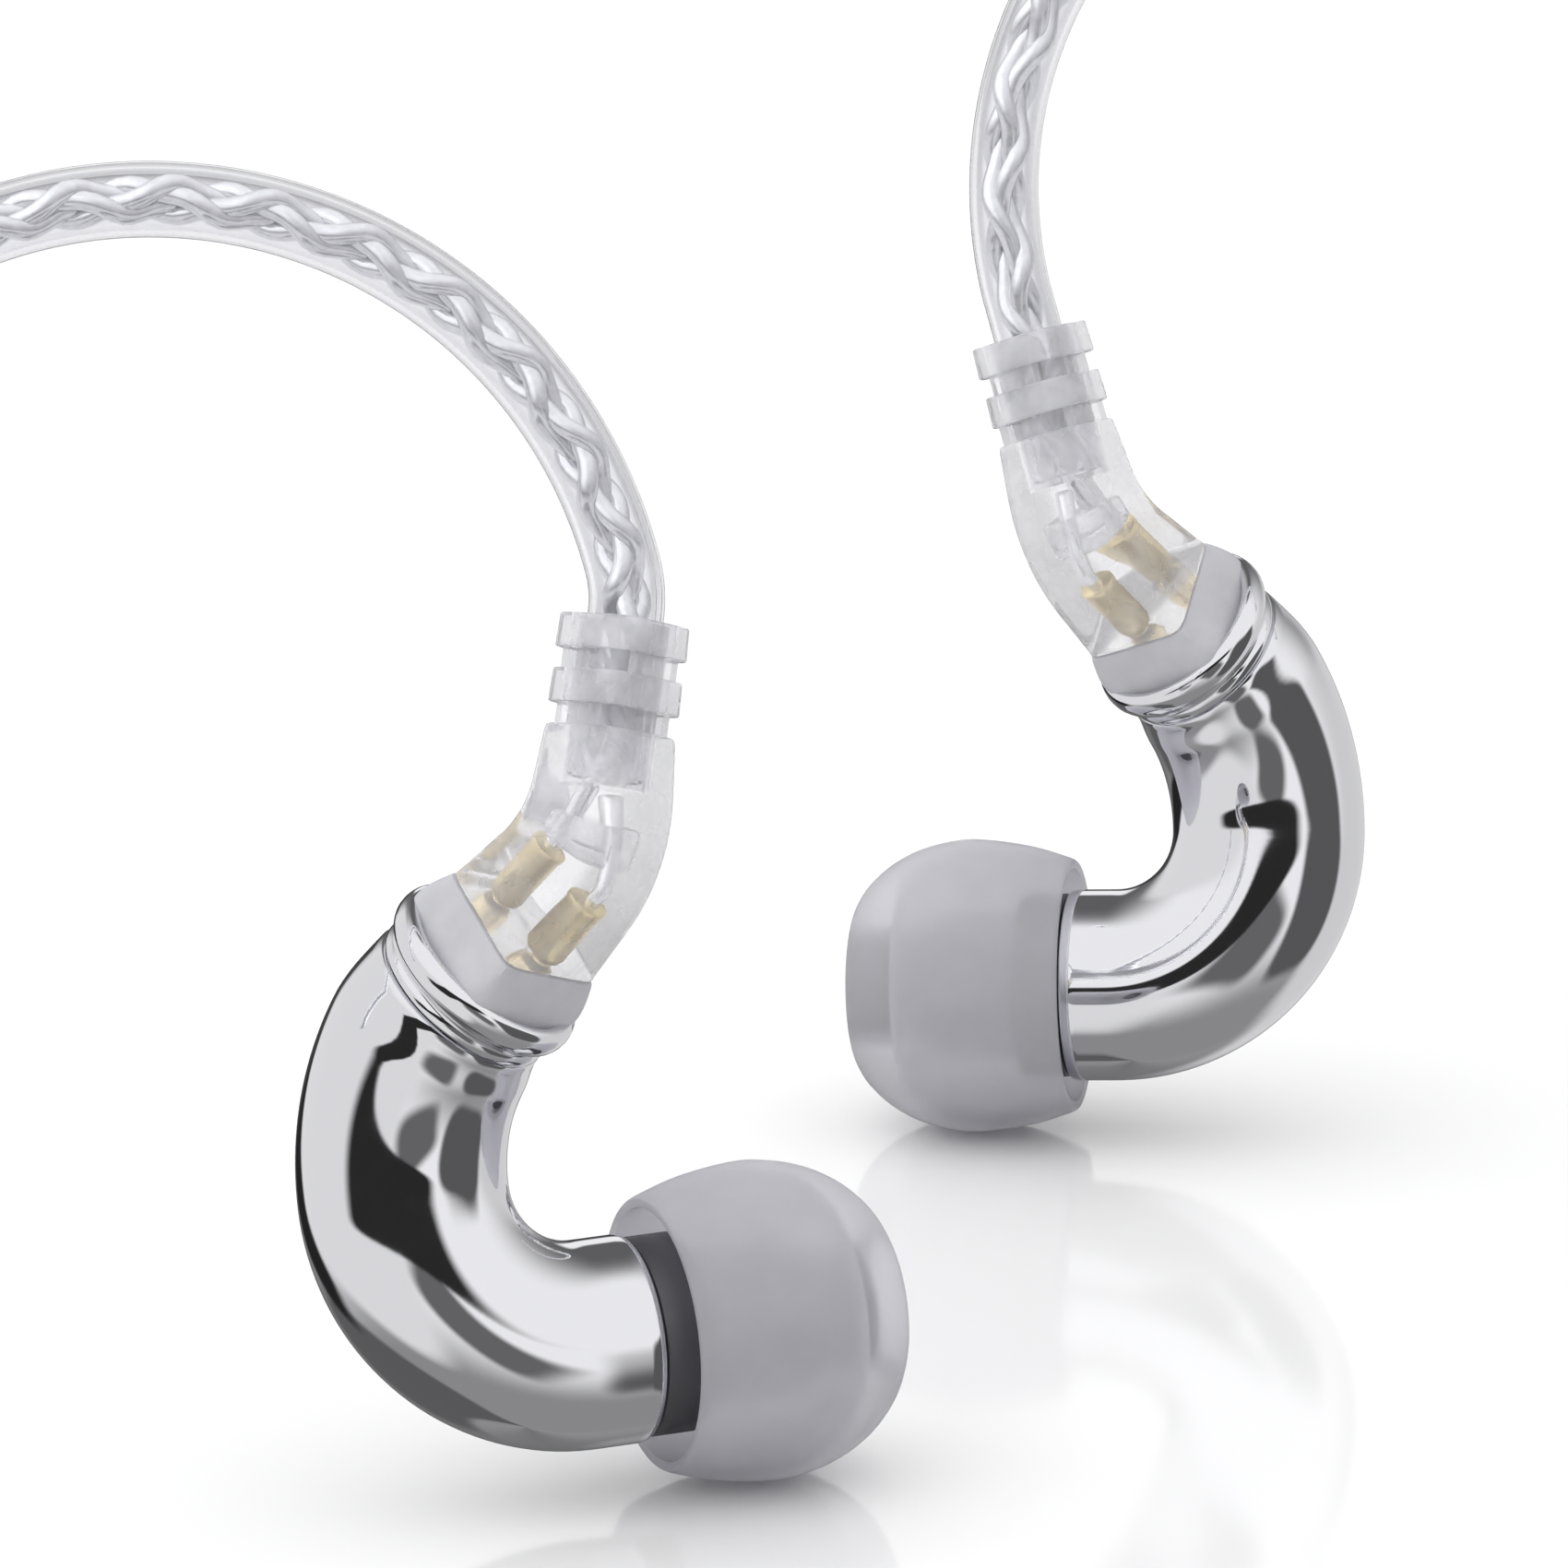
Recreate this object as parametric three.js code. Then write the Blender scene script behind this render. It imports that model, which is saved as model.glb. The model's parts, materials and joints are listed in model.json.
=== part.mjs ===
// A pair of in-ear monitors: chrome C-tube earpieces on silicone tips, clear angled two-pin plugs
// with preformed ear hooks, and a round cable with chin slider, Y splitter and 3.5 mm jack.
// Millimetres, +Z up. The floor is z = 0 and the origin lies under the middle of the two earpieces.
import * as THREE from 'three';

const { Vector2, Vector3 } = THREE;
const DEG = Math.PI / 180;

// ---- driving dimensions -------------------------------------------------------------------
const GAP = 0.3; // clearance between neighbouring solids
const TIP_R = 6.2; // widest radius of the silicone ear tip
const TUBE_R = 4.05; // chrome body tube
const TUBE_BORE_R = 3.5;
const TUBE_START_X = -0.4; // the tube's end plane, just behind the tip's rear rim
const TUBE_STRAIGHT = 2.0;
const LOWER_BEND_R = 6.5; // quarter turn from the nozzle axis up to the vertical
const UPPER_BEND_R = 9.2; // second bend, towards the socket
const UPPER_BEND_ANGLE = 53.8 * DEG;
const UPPER_BEND_SIDE = new Vector3(0.621, -0.784, 0).normalize(); // the way the second bend leans

const NOZZLE_R = 2.0;
const NOZZLE_BORE_R = 1.45;
const NOZZLE_END_X = 8.6;
const PIN_OFFSET = 1.35; // each pin's distance from the plug's axis
const PIN_R = 0.39;
const HOOK_R = 1.45; // clear ear-hook sleeve
const HOOK_BORE_R = 1.15;
const HOOK_KNEE_R = 5; // tight first bend, where the soft sleeve leaves the strain relief
const HOOK_BEND_R = 18.3;
const HOOK_TURN = 188 * DEG; // both bends together
const HOOK_TAIL = 8; // straight end of the sleeve, after its bends
const HOOK_CABLE_R = 0.85;

const BRANCH_R = 1.0; // cable between an ear hook and the splitter
const MAIN_R = 1.3; // cable between the splitter and the jack
const COIL_R = 10.1; // middle of the stored coil's bundle, where it bends round
const COIL_STRAIGHT = 18; // length of its two straight sides
const COIL_HALF = 3.9; // half the height and half the width of the bundle
const COIL_CENTRE = new Vector2(-15, -89);

// Each earpiece stands on its tip. The right one is the mirror image of the left one, so its
// angles are those of its mirror image. `seat` is how far the tip sits out along its nozzle, and
// `straight` and `knee` are how the soft ear hook leaves its plug.
const PLACES = {
  left: {
    mirror: 1, at: [-3.7, -22.7], azimuth: 22 * DEG, rise: 1.0 * DEG, lean: 16.7 * DEG,
    seat: 0.45, straight: 8.9, knee: 22 * DEG,
  },
  right: {
    mirror: -1, at: [6.1, 24.4], azimuth: 10 * DEG, rise: -3.1 * DEG, lean: 14.7 * DEG,
    seat: -0.6, straight: 10.5, knee: 2 * DEG,
  },
};

// ---- materials ----------------------------------------------------------------------------
const material = (color, roughness, metalness) =>
  new THREE.MeshStandardMaterial({ color, roughness, metalness });
const CHROME = () => material(0xc8c8cc, 0.06, 1);
const STEEL = () => material(0xa8a8ac, 0.3, 1);
const GOLD = () => material(0xc9b98c, 0.3, 1);
const MAGNET = () => material(0x55555a, 0.45, 1);
const SILICONE = () => material(0xaaa8ae, 0.5, 0);
const GREY_RESIN = () => material(0x9c9ca2, 0.55, 0);
const CLEAR_RESIN = () => material(0xe4e4ea, 0.15, 0);
const FILM = () => material(0xd8d2c0, 0.4, 0);
const DARK_PLASTIC = () => material(0x2c2c30, 0.5, 0);
const CABLE_JACKET = () => material(0xd6d6dc, 0.3, 0);
const WIRE_ENAMEL = () => material(0xc05a30, 0.4, 0);

// ---- curves and shapes --------------------------------------------------------------------
// An arc that sets out from `start` along `heading` and bends towards `side`.
class Bend extends THREE.Curve {
  constructor(start, heading, side, radius, angle) {
    super();
    Object.assign(this, { start, heading, side, radius, angle });
  }
  getPoint(t, target = new Vector3()) {
    const turned = this.angle * t;
    return target
      .copy(this.start)
      .addScaledVector(this.heading, this.radius * Math.sin(turned))
      .addScaledVector(this.side, this.radius * (1 - Math.cos(turned)));
  }
  endHeading() {
    return new Vector3()
      .addScaledVector(this.heading, Math.cos(this.angle))
      .addScaledVector(this.side, Math.sin(this.angle))
      .normalize();
  }
}

// A curve at a constant distance beside another one; `across` is the sideways direction.
class Beside extends THREE.Curve {
  constructor(path, from, to, across, distance) {
    super();
    Object.assign(this, { path, from, to, across, distance });
  }
  getPoint(t, target = new Vector3()) {
    const u = this.from + (this.to - this.from) * t;
    return target.copy(this.path.getPointAt(u)).addScaledVector(this.across, this.distance);
  }
}

const ahead = (point, heading, distance) => point.clone().addScaledVector(heading, distance);

function joined(...curves) {
  const path = new THREE.CurvePath();
  path.curves.push(...curves);
  return path;
}

function circle(radius, x = 0, y = 0, PathType = THREE.Shape) {
  return new PathType().absarc(x, y, radius, 0, 2 * Math.PI, false);
}

// A round rod or, with a bore, a pipe that follows a path.
function pipe(path, radius, bore, sides, steps) {
  const section = circle(radius);
  if (bore > 0) section.holes.push(circle(bore, 0, 0, THREE.Path));
  return new THREE.ExtrudeGeometry(section, {
    extrudePath: path,
    steps,
    curveSegments: sides / 2,
    bevelEnabled: false,
  });
}

// Turns an outline of [distance along the axis, radius] points about Y, with its faces outwards.
function lathe(outline, sides, closed) {
  const points = outline.map(([distance, radius]) => new Vector2(radius, distance));
  if (THREE.ShapeUtils.area(points) < 0) points.reverse();
  if (closed) points.push(points[0].clone());
  return new THREE.LatheGeometry(points, sides);
}

// A turned piece about +X. Its outline is a list of [x, radius] points.
function turned(outline, sides, closed = false) {
  return lathe(outline, sides, closed).rotateZ(-Math.PI / 2);
}

// A turned piece about `axis`, set at `origin`, with its outline's x measured along the axis.
function turnedAt(origin, axis, outline, sides, closed = false) {
  const geometry = turned(outline, sides, closed);
  const turn = new THREE.Quaternion().setFromUnitVectors(new Vector3(1, 0, 0), axis);
  return geometry.applyQuaternion(turn).translate(origin.x, origin.y, origin.z);
}

// A closed outline turned about a path instead of a line. Each [distance, half width] point gives
// a section that is round below `roundBelow` and a rounded square with sides along `across` above.
function squareAlong(path, across, outline, sides, roundBelow) {
  const geometry = lathe(outline, sides, true);
  const position = geometry.getAttribute('position');
  const length = path.getLength();
  for (let i = 0; i < position.count; i++) {
    const half = Math.hypot(position.getX(i), position.getZ(i));
    const turn = Math.atan2(position.getX(i), position.getZ(i));
    const [c, s] = [Math.cos(turn), Math.sin(turn)];
    const swell = half < roundBelow ? 1 : (Math.abs(c) ** 5 + Math.abs(s) ** 5) ** (-1 / 5);
    const u = Math.min(Math.max(position.getY(i) / length, 0), 1);
    const tangent = path.getTangentAt(u);
    const place = path.getPointAt(u);
    place.addScaledVector(across, half * swell * c);
    place.addScaledVector(new Vector3().crossVectors(tangent, across), half * swell * s);
    position.setXYZ(i, place.x, place.y, place.z);
  }
  return geometry;
}

// A disc or block of constant section with round holes, set at `origin` and rising along `axis`.
// Its own x runs along `across`.
function drilled(origin, axis, across, section, holes, depth, curveSegments = 8) {
  for (const [radius, x, y] of holes) section.holes.push(circle(radius, x, y, THREE.Path));
  const geometry = new THREE.ExtrudeGeometry(section, { depth, bevelEnabled: false, curveSegments });
  const second = new Vector3().crossVectors(axis, across);
  const basis = new THREE.Matrix4().makeBasis(across, second, axis).setPosition(origin);
  return geometry.applyMatrix4(basis);
}

function add(group, name, geometry, look) {
  const mesh = new THREE.Mesh(geometry, look);
  mesh.name = name;
  group.add(mesh);
  return mesh;
}

// ---- the earpiece's own frame: origin in the middle of the tip's rear rim, nozzle along +X ------
const X = new Vector3(1, 0, 0);
const Z = new Vector3(0, 0, 1);
const LOWER_START = new Vector3(TUBE_START_X - TUBE_STRAIGHT, 0, 0);
const lowerBend = new Bend(LOWER_START, X.clone().negate(), Z, LOWER_BEND_R, Math.PI / 2);
const upperBend = new Bend(lowerBend.getPoint(1), Z, UPPER_BEND_SIDE, UPPER_BEND_R, UPPER_BEND_ANGLE);
const bodyPath = joined(
  new THREE.LineCurve3(new Vector3(TUBE_START_X, 0, 0), LOWER_START),
  lowerBend,
  upperBend,
);
const SOCKET = upperBend.getPoint(1); // middle of the tube's upper end
const SOCKET_AXIS = upperBend.endHeading();

// The plug: along the socket's axis, then bent to the hook's own axis.
const HOOK_AXIS = new Vector3(0.26, -0.02, 0.965).normalize();
const ACROSS = new Vector3().crossVectors(HOOK_AXIS, SOCKET_AXIS).normalize();
const PIN_LINE = new Vector3().crossVectors(SOCKET_AXIS, ACROSS).normalize();
const LIP_TOP = 2.1; // all measured from SOCKET along SOCKET_AXIS
const HOOD_TOP = 3.8;
const PLUG_START = HOOD_TOP + GAP;
const PLUG_BEND = 8.3;
const BEND_REACH = 2.2; // straight legs meet the bend this far from its corner
const BODY_TOP = 4.5; // measured from the corner along HOOK_AXIS
const CORNER = ahead(SOCKET, SOCKET_AXIS, PLUG_BEND);
const plugPath = joined(
  new THREE.LineCurve3(
    ahead(SOCKET, SOCKET_AXIS, PLUG_START),
    ahead(CORNER, SOCKET_AXIS, -BEND_REACH),
  ),
  new THREE.QuadraticBezierCurve3(
    ahead(CORNER, SOCKET_AXIS, -BEND_REACH),
    CORNER,
    ahead(CORNER, HOOK_AXIS, BEND_REACH),
  ),
  new THREE.LineCurve3(ahead(CORNER, HOOK_AXIS, BEND_REACH), ahead(CORNER, HOOK_AXIS, BODY_TOP)),
);
const RELIEF_LENGTH = 4.2;
const reliefPath = new THREE.LineCurve3(
  ahead(CORNER, HOOK_AXIS, BODY_TOP + GAP),
  ahead(CORNER, HOOK_AXIS, BODY_TOP + GAP + RELIEF_LENGTH),
);

// The hook: up out of the plug, over in one wide bend, and down again behind the ear.
const HOOK_START = 2.6; // inside the plug, from the corner along HOOK_AXIS
const HOOK_SIDE = new Vector3(-0.96, 0.25, 0)
  .addScaledVector(HOOK_AXIS, -new Vector3(-0.96, 0.25, 0).dot(HOOK_AXIS))
  .normalize();
function hookPath({ straight, knee: kneeAngle }) {
  const foot = ahead(CORNER, HOOK_AXIS, straight);
  const knee = new Bend(foot, HOOK_AXIS, HOOK_SIDE, HOOK_KNEE_R, kneeAngle);
  const heading = knee.endHeading();
  const side = new Vector3().crossVectors(new Vector3().crossVectors(HOOK_AXIS, HOOK_SIDE), heading);
  const arch = new Bend(knee.getPoint(1), heading, side, HOOK_BEND_R, HOOK_TURN - kneeAngle);
  const end = arch.getPoint(1);
  return joined(
    new THREE.LineCurve3(ahead(CORNER, HOOK_AXIS, HOOK_START), foot),
    knee,
    arch,
    new THREE.LineCurve3(end, ahead(end, arch.endHeading(), HOOK_TAIL)),
  );
}

// ---- the ear tip's outline ------------------------------------------------------------------
const TIP_SKIRT = [
  [0, 5.3], [2, 5.9], [4, TIP_R], [5.2, 6.12], [6.6, 5.75], [7.8, 5.15], [8.7, 4.4],
  [9.2, 3.8], [9.4, 3.2], [9.4, 2.35],
];
const TIP_INSIDE = [
  [0.7, 2.35], [0.7, 3.05], [6.6, 3.05], [7.4, 3.5], [7.0, 4.5], [5.6, 5.35], [4, 5.6],
  [2, 5.35], [0, 4.8],
];

function shellParts(group, side) {
  add(group, `${side}_shell`, pipe(bodyPath, TUBE_R, TUBE_BORE_R, 16, 17), CHROME());
  // The collar plugs into the tube's upper end and carries the rolled lip round the socket.
  const spigot = TUBE_BORE_R - GAP;
  const collar = [
    [-1.2, 2.6], [0.8, 2.6], [0.8, 3.45], [LIP_TOP, 3.45], [LIP_TOP, 3.8], [1.9, 3.95],
    [1.2, 3.95], [1.0, 3.7], [GAP, 3.7], [GAP, spigot], [-1.2, spigot],
  ];
  const collarGeometry = turnedAt(SOCKET, SOCKET_AXIS, collar, 16, true);
  add(group, `${side}_rear_collar`, collarGeometry, CHROME());
  const hood = circle(3.1);
  const bores = [[0.95, 0, PIN_OFFSET], [0.95, 0, -PIN_OFFSET]];
  const hoodBase = ahead(SOCKET, SOCKET_AXIS, 0.8 + GAP);
  const hoodDepth = HOOD_TOP - 0.8 - GAP;
  add(
    group,
    `${side}_socket_hood`,
    drilled(hoodBase, SOCKET_AXIS, ACROSS, hood, bores, hoodDepth, 6),
    GREY_RESIN(),
  );
  for (const [letter, sign] of [['a', 1], ['b', -1]]) {
    const seat = ahead(SOCKET, PIN_LINE, sign * PIN_OFFSET);
    const contact = [[0.6, 0.6], [3.5, 0.6], [3.5, 0.8], [0.6, 0.8]];
    add(
      group,
      `${side}_socket_contact_${letter}`,
      turnedAt(seat, SOCKET_AXIS, contact, 8, true),
      GOLD(),
    );
  }
}

function nozzleParts(group, side) {
  const spigot = TUBE_BORE_R - GAP;
  const nozzle = [
    [-2.2, spigot], [-2.2, NOZZLE_BORE_R], [NOZZLE_END_X, NOZZLE_BORE_R], [NOZZLE_END_X, 1.95],
    [8.7, 2.15], [8.3, 2.15], [8.1, NOZZLE_R], [-0.1, NOZZLE_R], [-0.1, spigot],
  ];
  add(group, `${side}_nozzle`, turned(nozzle, 14, true), CHROME());
  const meshDisc = [[8.2, 0], [8.2, NOZZLE_BORE_R - GAP], [8.5, NOZZLE_BORE_R - GAP], [8.5, 0]];
  add(group, `${side}_nozzle_mesh`, turned(meshDisc, 12), STEEL());
  const damper = [[2.4, 0.45], [4.9, 0.45], [4.9, 1.15], [2.4, 1.15]];
  add(group, `${side}_damper`, turned(damper, 10, true), FILM());
}

function driverParts(group, side) {
  const frame = [
    [-5.2, 0.6], [-4.9, 0.6], [-4.9, 2.2], [-2.6, 2.2], [-2.6, 2.6], [-5.2, 2.6],
  ];
  add(group, `${side}_driver_frame`, turned(frame, 14, true), STEEL());
  const magnet = [[-4.6, 0], [-4.6, 1.2], [-3.4, 1.2], [-3.4, 0]];
  add(group, `${side}_driver_magnet`, turned(magnet, 12), MAGNET());
  const diaphragm = [
    [-3.0, 0], [-3.0, 1.5], [-3.9, 1.5], [-3.9, 1.65], [-2.9, 1.65], [-2.9, 1.9],
    [-2.8, 1.9], [-2.65, 1.0], [-2.6, 0],
  ];
  add(group, `${side}_driver_diaphragm`, turned(diaphragm, 14), FILM());
  // The leads run from the driver's terminals up the tube to the socket's contacts.
  for (const [letter, sign] of [['a', 1], ['b', -1]]) {
    const lead = new Beside(bodyPath, 0.34, 0.985, PIN_LINE, sign * 0.9);
    add(group, `${side}_driver_lead_${letter}`, pipe(lead, 0.22, 0, 6, 7), WIRE_ENAMEL());
  }
}

function plugParts(group, side) {
  // The body narrows from its mouth to its top and bends between the two. Its cavity is square
  // round the pins and turns round where the hook's sleeve ends in it.
  const length = plugPath.getLength();
  const stations = [0, 0.24, 0.32, 0.4, 0.48, 0.56, 0.64, 1];
  const outside = stations.map((f) => [f * length, 2.52 - 0.52 * Math.min(f / 0.85, 1)]);
  const inside = stations.map((f) => [f * length, f < 0.6 ? 2.15 - 0.25 * f : 1.75]);
  const body = [...outside, ...inside.reverse()];
  add(group, `${side}_plug_body`, squareAlong(plugPath, ACROSS, body, 16, 1.9), CLEAR_RESIN());
  const insert = [[4.3, 0.05], [4.3, 1.6], [5.6, 1.6], [5.6, 0.05]];
  add(group, `${side}_plug_insert`, squareAlong(plugPath, ACROSS, insert, 12, 9), CLEAR_RESIN());
  for (const [letter, sign] of [['a', 1], ['b', -1]]) {
    const seat = ahead(SOCKET, PIN_LINE, sign * PIN_OFFSET);
    const pin = [[1.2, 0], [1.2, PIN_R], [4.6, PIN_R], [4.6, 0.6], [6.5, 0.6], [6.5, 0]];
    add(group, `${side}_plug_pin_${letter}`, turnedAt(seat, SOCKET_AXIS, pin, 8), GOLD());
  }
  const relief = [
    [0, 1.75], [0, 1.88], [0.5, 1.88], [0.5, 2.05], [1.8, 2.05], [1.8, 1.88],
    [2.6, 1.88], [2.6, 2.0], [RELIEF_LENGTH, 1.95], [RELIEF_LENGTH, 1.75],
  ];
  add(
    group,
    `${side}_strain_relief`,
    squareAlong(reliefPath, ACROSS, relief, 16, 1.8),
    CLEAR_RESIN(),
  );
  const hook = hookPath(PLACES[side]);
  add(group, `${side}_ear_hook`, pipe(hook, HOOK_R, HOOK_BORE_R, 8, 26), CLEAR_RESIN());
  add(group, `${side}_hook_cable`, pipe(hook, HOOK_CABLE_R, 0, 6, 26), CABLE_JACKET());
}

function earpiece(side) {
  const { at, azimuth, rise, lean, mirror, seat } = PLACES[side];
  const stand = new THREE.Group();
  // The tip rests on the floor, so its lowest point sets the height.
  const height = Math.max(
    ...TIP_SKIRT.map(([x, radius]) => radius * Math.cos(rise) - x * Math.sin(rise)),
  );
  const widest = TIP_SKIRT.reduce((a, b) => (b[1] > a[1] ? b : a));
  const reach = widest[0] * Math.cos(azimuth); // from the rear rim to the resting point
  const depth = widest[0] * Math.sin(azimuth);
  stand.position.set(at[0] - mirror * reach, at[1] - depth, height);
  stand.scale.x = mirror;
  const tilted = new THREE.Group();
  tilted.rotation.set(-lean, -rise, azimuth, 'ZYX');
  stand.add(tilted);
  add(tilted, `${side}_eartip`, turned([...TIP_SKIRT, ...TIP_INSIDE], 20, true), SILICONE());
  const body = new THREE.Group();
  body.position.x = -seat;
  tilted.add(body);
  shellParts(body, side);
  nozzleParts(body, side);
  driverParts(body, side);
  plugParts(body, side);
  return stand;
}

// ---- the cable on the floor -----------------------------------------------------------------
const FLAT = BRANCH_R + 0.1; // height of a branch's middle where it lies on the floor
const PAIR_X = 14.05; // middle of the two branches where they run side by side
const PAIR_PITCH = 3.2;
const PAIR_Z = 1.8; // held a little above the floor by the slider and the splitter
const SPLIT_Y = -80; // the branches end here, in the splitter's mouth
const SPLITTER = { length: 12, width: 8.4, height: 4.4 };
const SLIDER = { length: 9, width: 7.4, height: 3.6, y: -72 };

// Each branch hangs from its ear hook, lies in loose bends, and ends beside the other one.
const leftPair = PAIR_X - PAIR_PITCH / 2;
const rightPair = PAIR_X + PAIR_PITCH / 2;
const LEFT_ROUTE = [
  [-44.2, -31.9, 25.2], [-44.1, -34.9, 16.2], [-43.8, -38.2, 8.0], [-42.4, -41.6, 2.7],
  [-39.6, -44.6, FLAT], [-37.4, -49.6, FLAT], [-36.6, -56.8, FLAT], [-35.4, -65.0, FLAT],
  [-30.8, -71.0, FLAT], [-25.6, -66.0, FLAT], [-24.0, -57.0, FLAT], [-22.8, -48.6, FLAT],
  [-18.0, -43.6, FLAT], [-13.2, -48.0, FLAT], [-12.2, -57.0, FLAT], [-10.8, -66.0, FLAT],
  [-5.8, -71.2, FLAT], [-0.8, -66.2, FLAT], [0.8, -57.0, FLAT], [2.4, -49.0, FLAT],
  [6.6, -43.4, FLAT], [11.2, -44.6, 1.4], [leftPair, -49.6, PAIR_Z], [leftPair, -54, PAIR_Z],
  [leftPair, SPLIT_Y, PAIR_Z],
];
const RIGHT_ROUTE = [
  [44.3, 25.4, 34.1], [45.4, 22.4, 24.6], [46.1, 18.6, 14.4], [46.3, 13.2, 5.8],
  [45.8, 5.8, 1.6], [45.0, -2.4, FLAT], [44.2, -11.0, FLAT], [43.9, -20.0, FLAT],
  [43.9, -29.0, FLAT], [43.6, -38.0, FLAT], [42.6, -46.0, FLAT], [41.2, -54.0, FLAT],
  [39.0, -62.0, FLAT], [35.0, -69.2, FLAT], [29.6, -70.6, FLAT], [26.4, -64.0, FLAT],
  [25.4, -55.0, FLAT], [23.8, -47.0, FLAT], [19.8, -43.0, FLAT], [16.4, -45.4, 1.5],
  [rightPair, -50.0, PAIR_Z], [rightPair, -54, PAIR_Z], [rightPair, SPLIT_Y, PAIR_Z],
];
const MAIN_ROUTE = [
  [PAIR_X, SPLIT_Y - SPLITTER.length - 2 * GAP, 2.0], [13.6, -96.2, 1.6], [11.6, -99.8, 1.4],
  [7.8, -102.2, 1.4], [3.0, -103.0, 1.4],
];
const JACK = { x: -43.2, z: 4.0, bootEnd: -91.0 };
const LEAD_ROUTE = [
  [-35.6, -101.0, 3.9], [-39.4, -99.4, 3.95], [-42.3, -96.0, 4.0],
  [JACK.x, JACK.bootEnd - GAP, JACK.z],
];

function cord(group, name, route, radius, steps) {
  const path = new THREE.CatmullRomCurve3(route.map((point) => new Vector3(...point)));
  add(group, name, pipe(path, radius, 0, 8, steps), CABLE_JACKET());
}

// A block of constant section, rising by `depth`.
function slab(section, depth) {
  return new THREE.ExtrudeGeometry(section, { depth, bevelEnabled: false, curveSegments: 5 });
}

// A closed section of straight sides with cut corners; the first side lies on the floor.
function cutBox(width, height, corner) {
  const w = width / 2;
  return new THREE.Shape(
    [
      [-w + corner, 0], [w - corner, 0], [w, corner], [w, height - corner],
      [w - corner, height], [-w + corner, height], [-w, height - corner], [-w, corner],
    ].map(([x, y]) => new Vector2(x, y)),
  );
}

function coilParts(group) {
  const [inner, outer, top] = [COIL_R - COIL_HALF, COIL_R + COIL_HALF, 2 * COIL_HALF];
  const soft = 1.1; // corner of the bundle's section
  const ring = [
    [soft, inner], [0, inner + soft], [0, outer - soft], [soft, outer],
    [top - soft, outer], [top, outer - soft], [top, inner + soft], [top - soft, inner],
  ];
  const coil = turned(ring, 26, true).rotateY(-Math.PI / 2);
  // A round ring whose two halves are drawn apart has straight sides.
  const position = coil.getAttribute('position');
  for (let i = 0; i < position.count; i++) {
    const x = position.getX(i);
    position.setX(i, x + (Math.sign(x) * COIL_STRAIGHT) / 2);
  }
  add(group, 'cable_coil', coil.translate(COIL_CENTRE.x, COIL_CENTRE.y, 0), CABLE_JACKET());
  // The tie is a strap that arches over one straight side and reaches the floor beside it.
  const clear = COIL_HALF + GAP;
  const thick = 0.8;
  const arch = new THREE.Shape(
    [
      [-clear - thick, 0], [-clear, 0], [-clear, top + GAP], [clear, top + GAP], [clear, 0],
      [clear + thick, 0], [clear + thick, top + GAP + thick], [-clear - thick, top + GAP + thick],
    ].map(([x, y]) => new Vector2(x, y)),
  );
  const width = 5;
  const strap = slab(arch, width).rotateX(Math.PI / 2).rotateZ(Math.PI / 2);
  const side = COIL_CENTRE.y - COIL_R;
  add(group, 'cable_tie', strap.translate(COIL_CENTRE.x - width / 2, side, 0), DARK_PLASTIC());
}

function splitterParts(group) {
  const { length, width, height } = SPLITTER;
  const body = slab(cutBox(width, height, 1.2), length).rotateX(Math.PI / 2);
  add(group, 'y_splitter', body.translate(PAIR_X, SPLIT_Y - GAP, 0), STEEL());
  const section = cutBox(SLIDER.width, SLIDER.height, 1.0);
  const bore = BRANCH_R + GAP;
  for (const x of [-PAIR_PITCH / 2, PAIR_PITCH / 2])
    section.holes.push(circle(bore, x, PAIR_Z, THREE.Path));
  const slider = slab(section, SLIDER.length).rotateX(Math.PI / 2);
  add(
    group,
    'chin_slider',
    slider.translate(PAIR_X, SLIDER.y + SLIDER.length / 2, 0),
    CLEAR_RESIN(),
  );
}

// The jack lies along +Y. Its outlines are measured from the boot's cable end.
function jackParts(group) {
  const origin = new Vector3(JACK.x, JACK.bootEnd, JACK.z);
  const piece = (name, outline, sides, closed, look) =>
    add(group, name, turnedAt(origin, new Vector3(0, 1, 0), outline, sides, closed), look);
  const boot = [[0, 0], [0, 1.9], [7.5, 2.6], [7.5, 3.1], [9, 3.1], [9, 0]];
  piece('jack_boot', boot, 14, false, GREY_RESIN());
  const housing = [
    [9.3, 0], [9.3, 3.4], [9.9, 4.0], [26, 4.0], [26.6, 3.6], [26.6, 2.1], [25, 2.1], [25, 0],
  ];
  piece('jack_housing', housing, 20, false, CHROME());
  // Contacts of the plug: sleeve, ring and tip, kept apart by two insulators on a centre rod.
  const sleeve = [[26.9, 1.0], [34.6, 1.0], [34.6, 1.75], [26.9, 1.75]];
  piece('jack_sleeve', sleeve, 14, true, GOLD());
  const insulatorA = [[34.8, 1.0], [35.3, 1.0], [35.3, 1.7], [34.8, 1.7]];
  piece('jack_insulator_a', insulatorA, 14, true, DARK_PLASTIC());
  piece('jack_ring', [[35.5, 1.0], [37.2, 1.0], [37.2, 1.75], [35.5, 1.75]], 14, true, GOLD());
  const insulatorB = [[37.4, 1.0], [37.8, 1.0], [37.8, 1.6], [37.4, 1.6]];
  piece('jack_insulator_b', insulatorB, 14, true, DARK_PLASTIC());
  const tip = [
    [25.4, 0], [25.4, 0.7], [38.0, 0.7], [38.0, 1.6], [38.6, 1.2], [39.2, 1.75], [40.9, 0.3],
    [41, 0],
  ];
  piece('jack_tip', tip, 14, false, GOLD());
}

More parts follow.
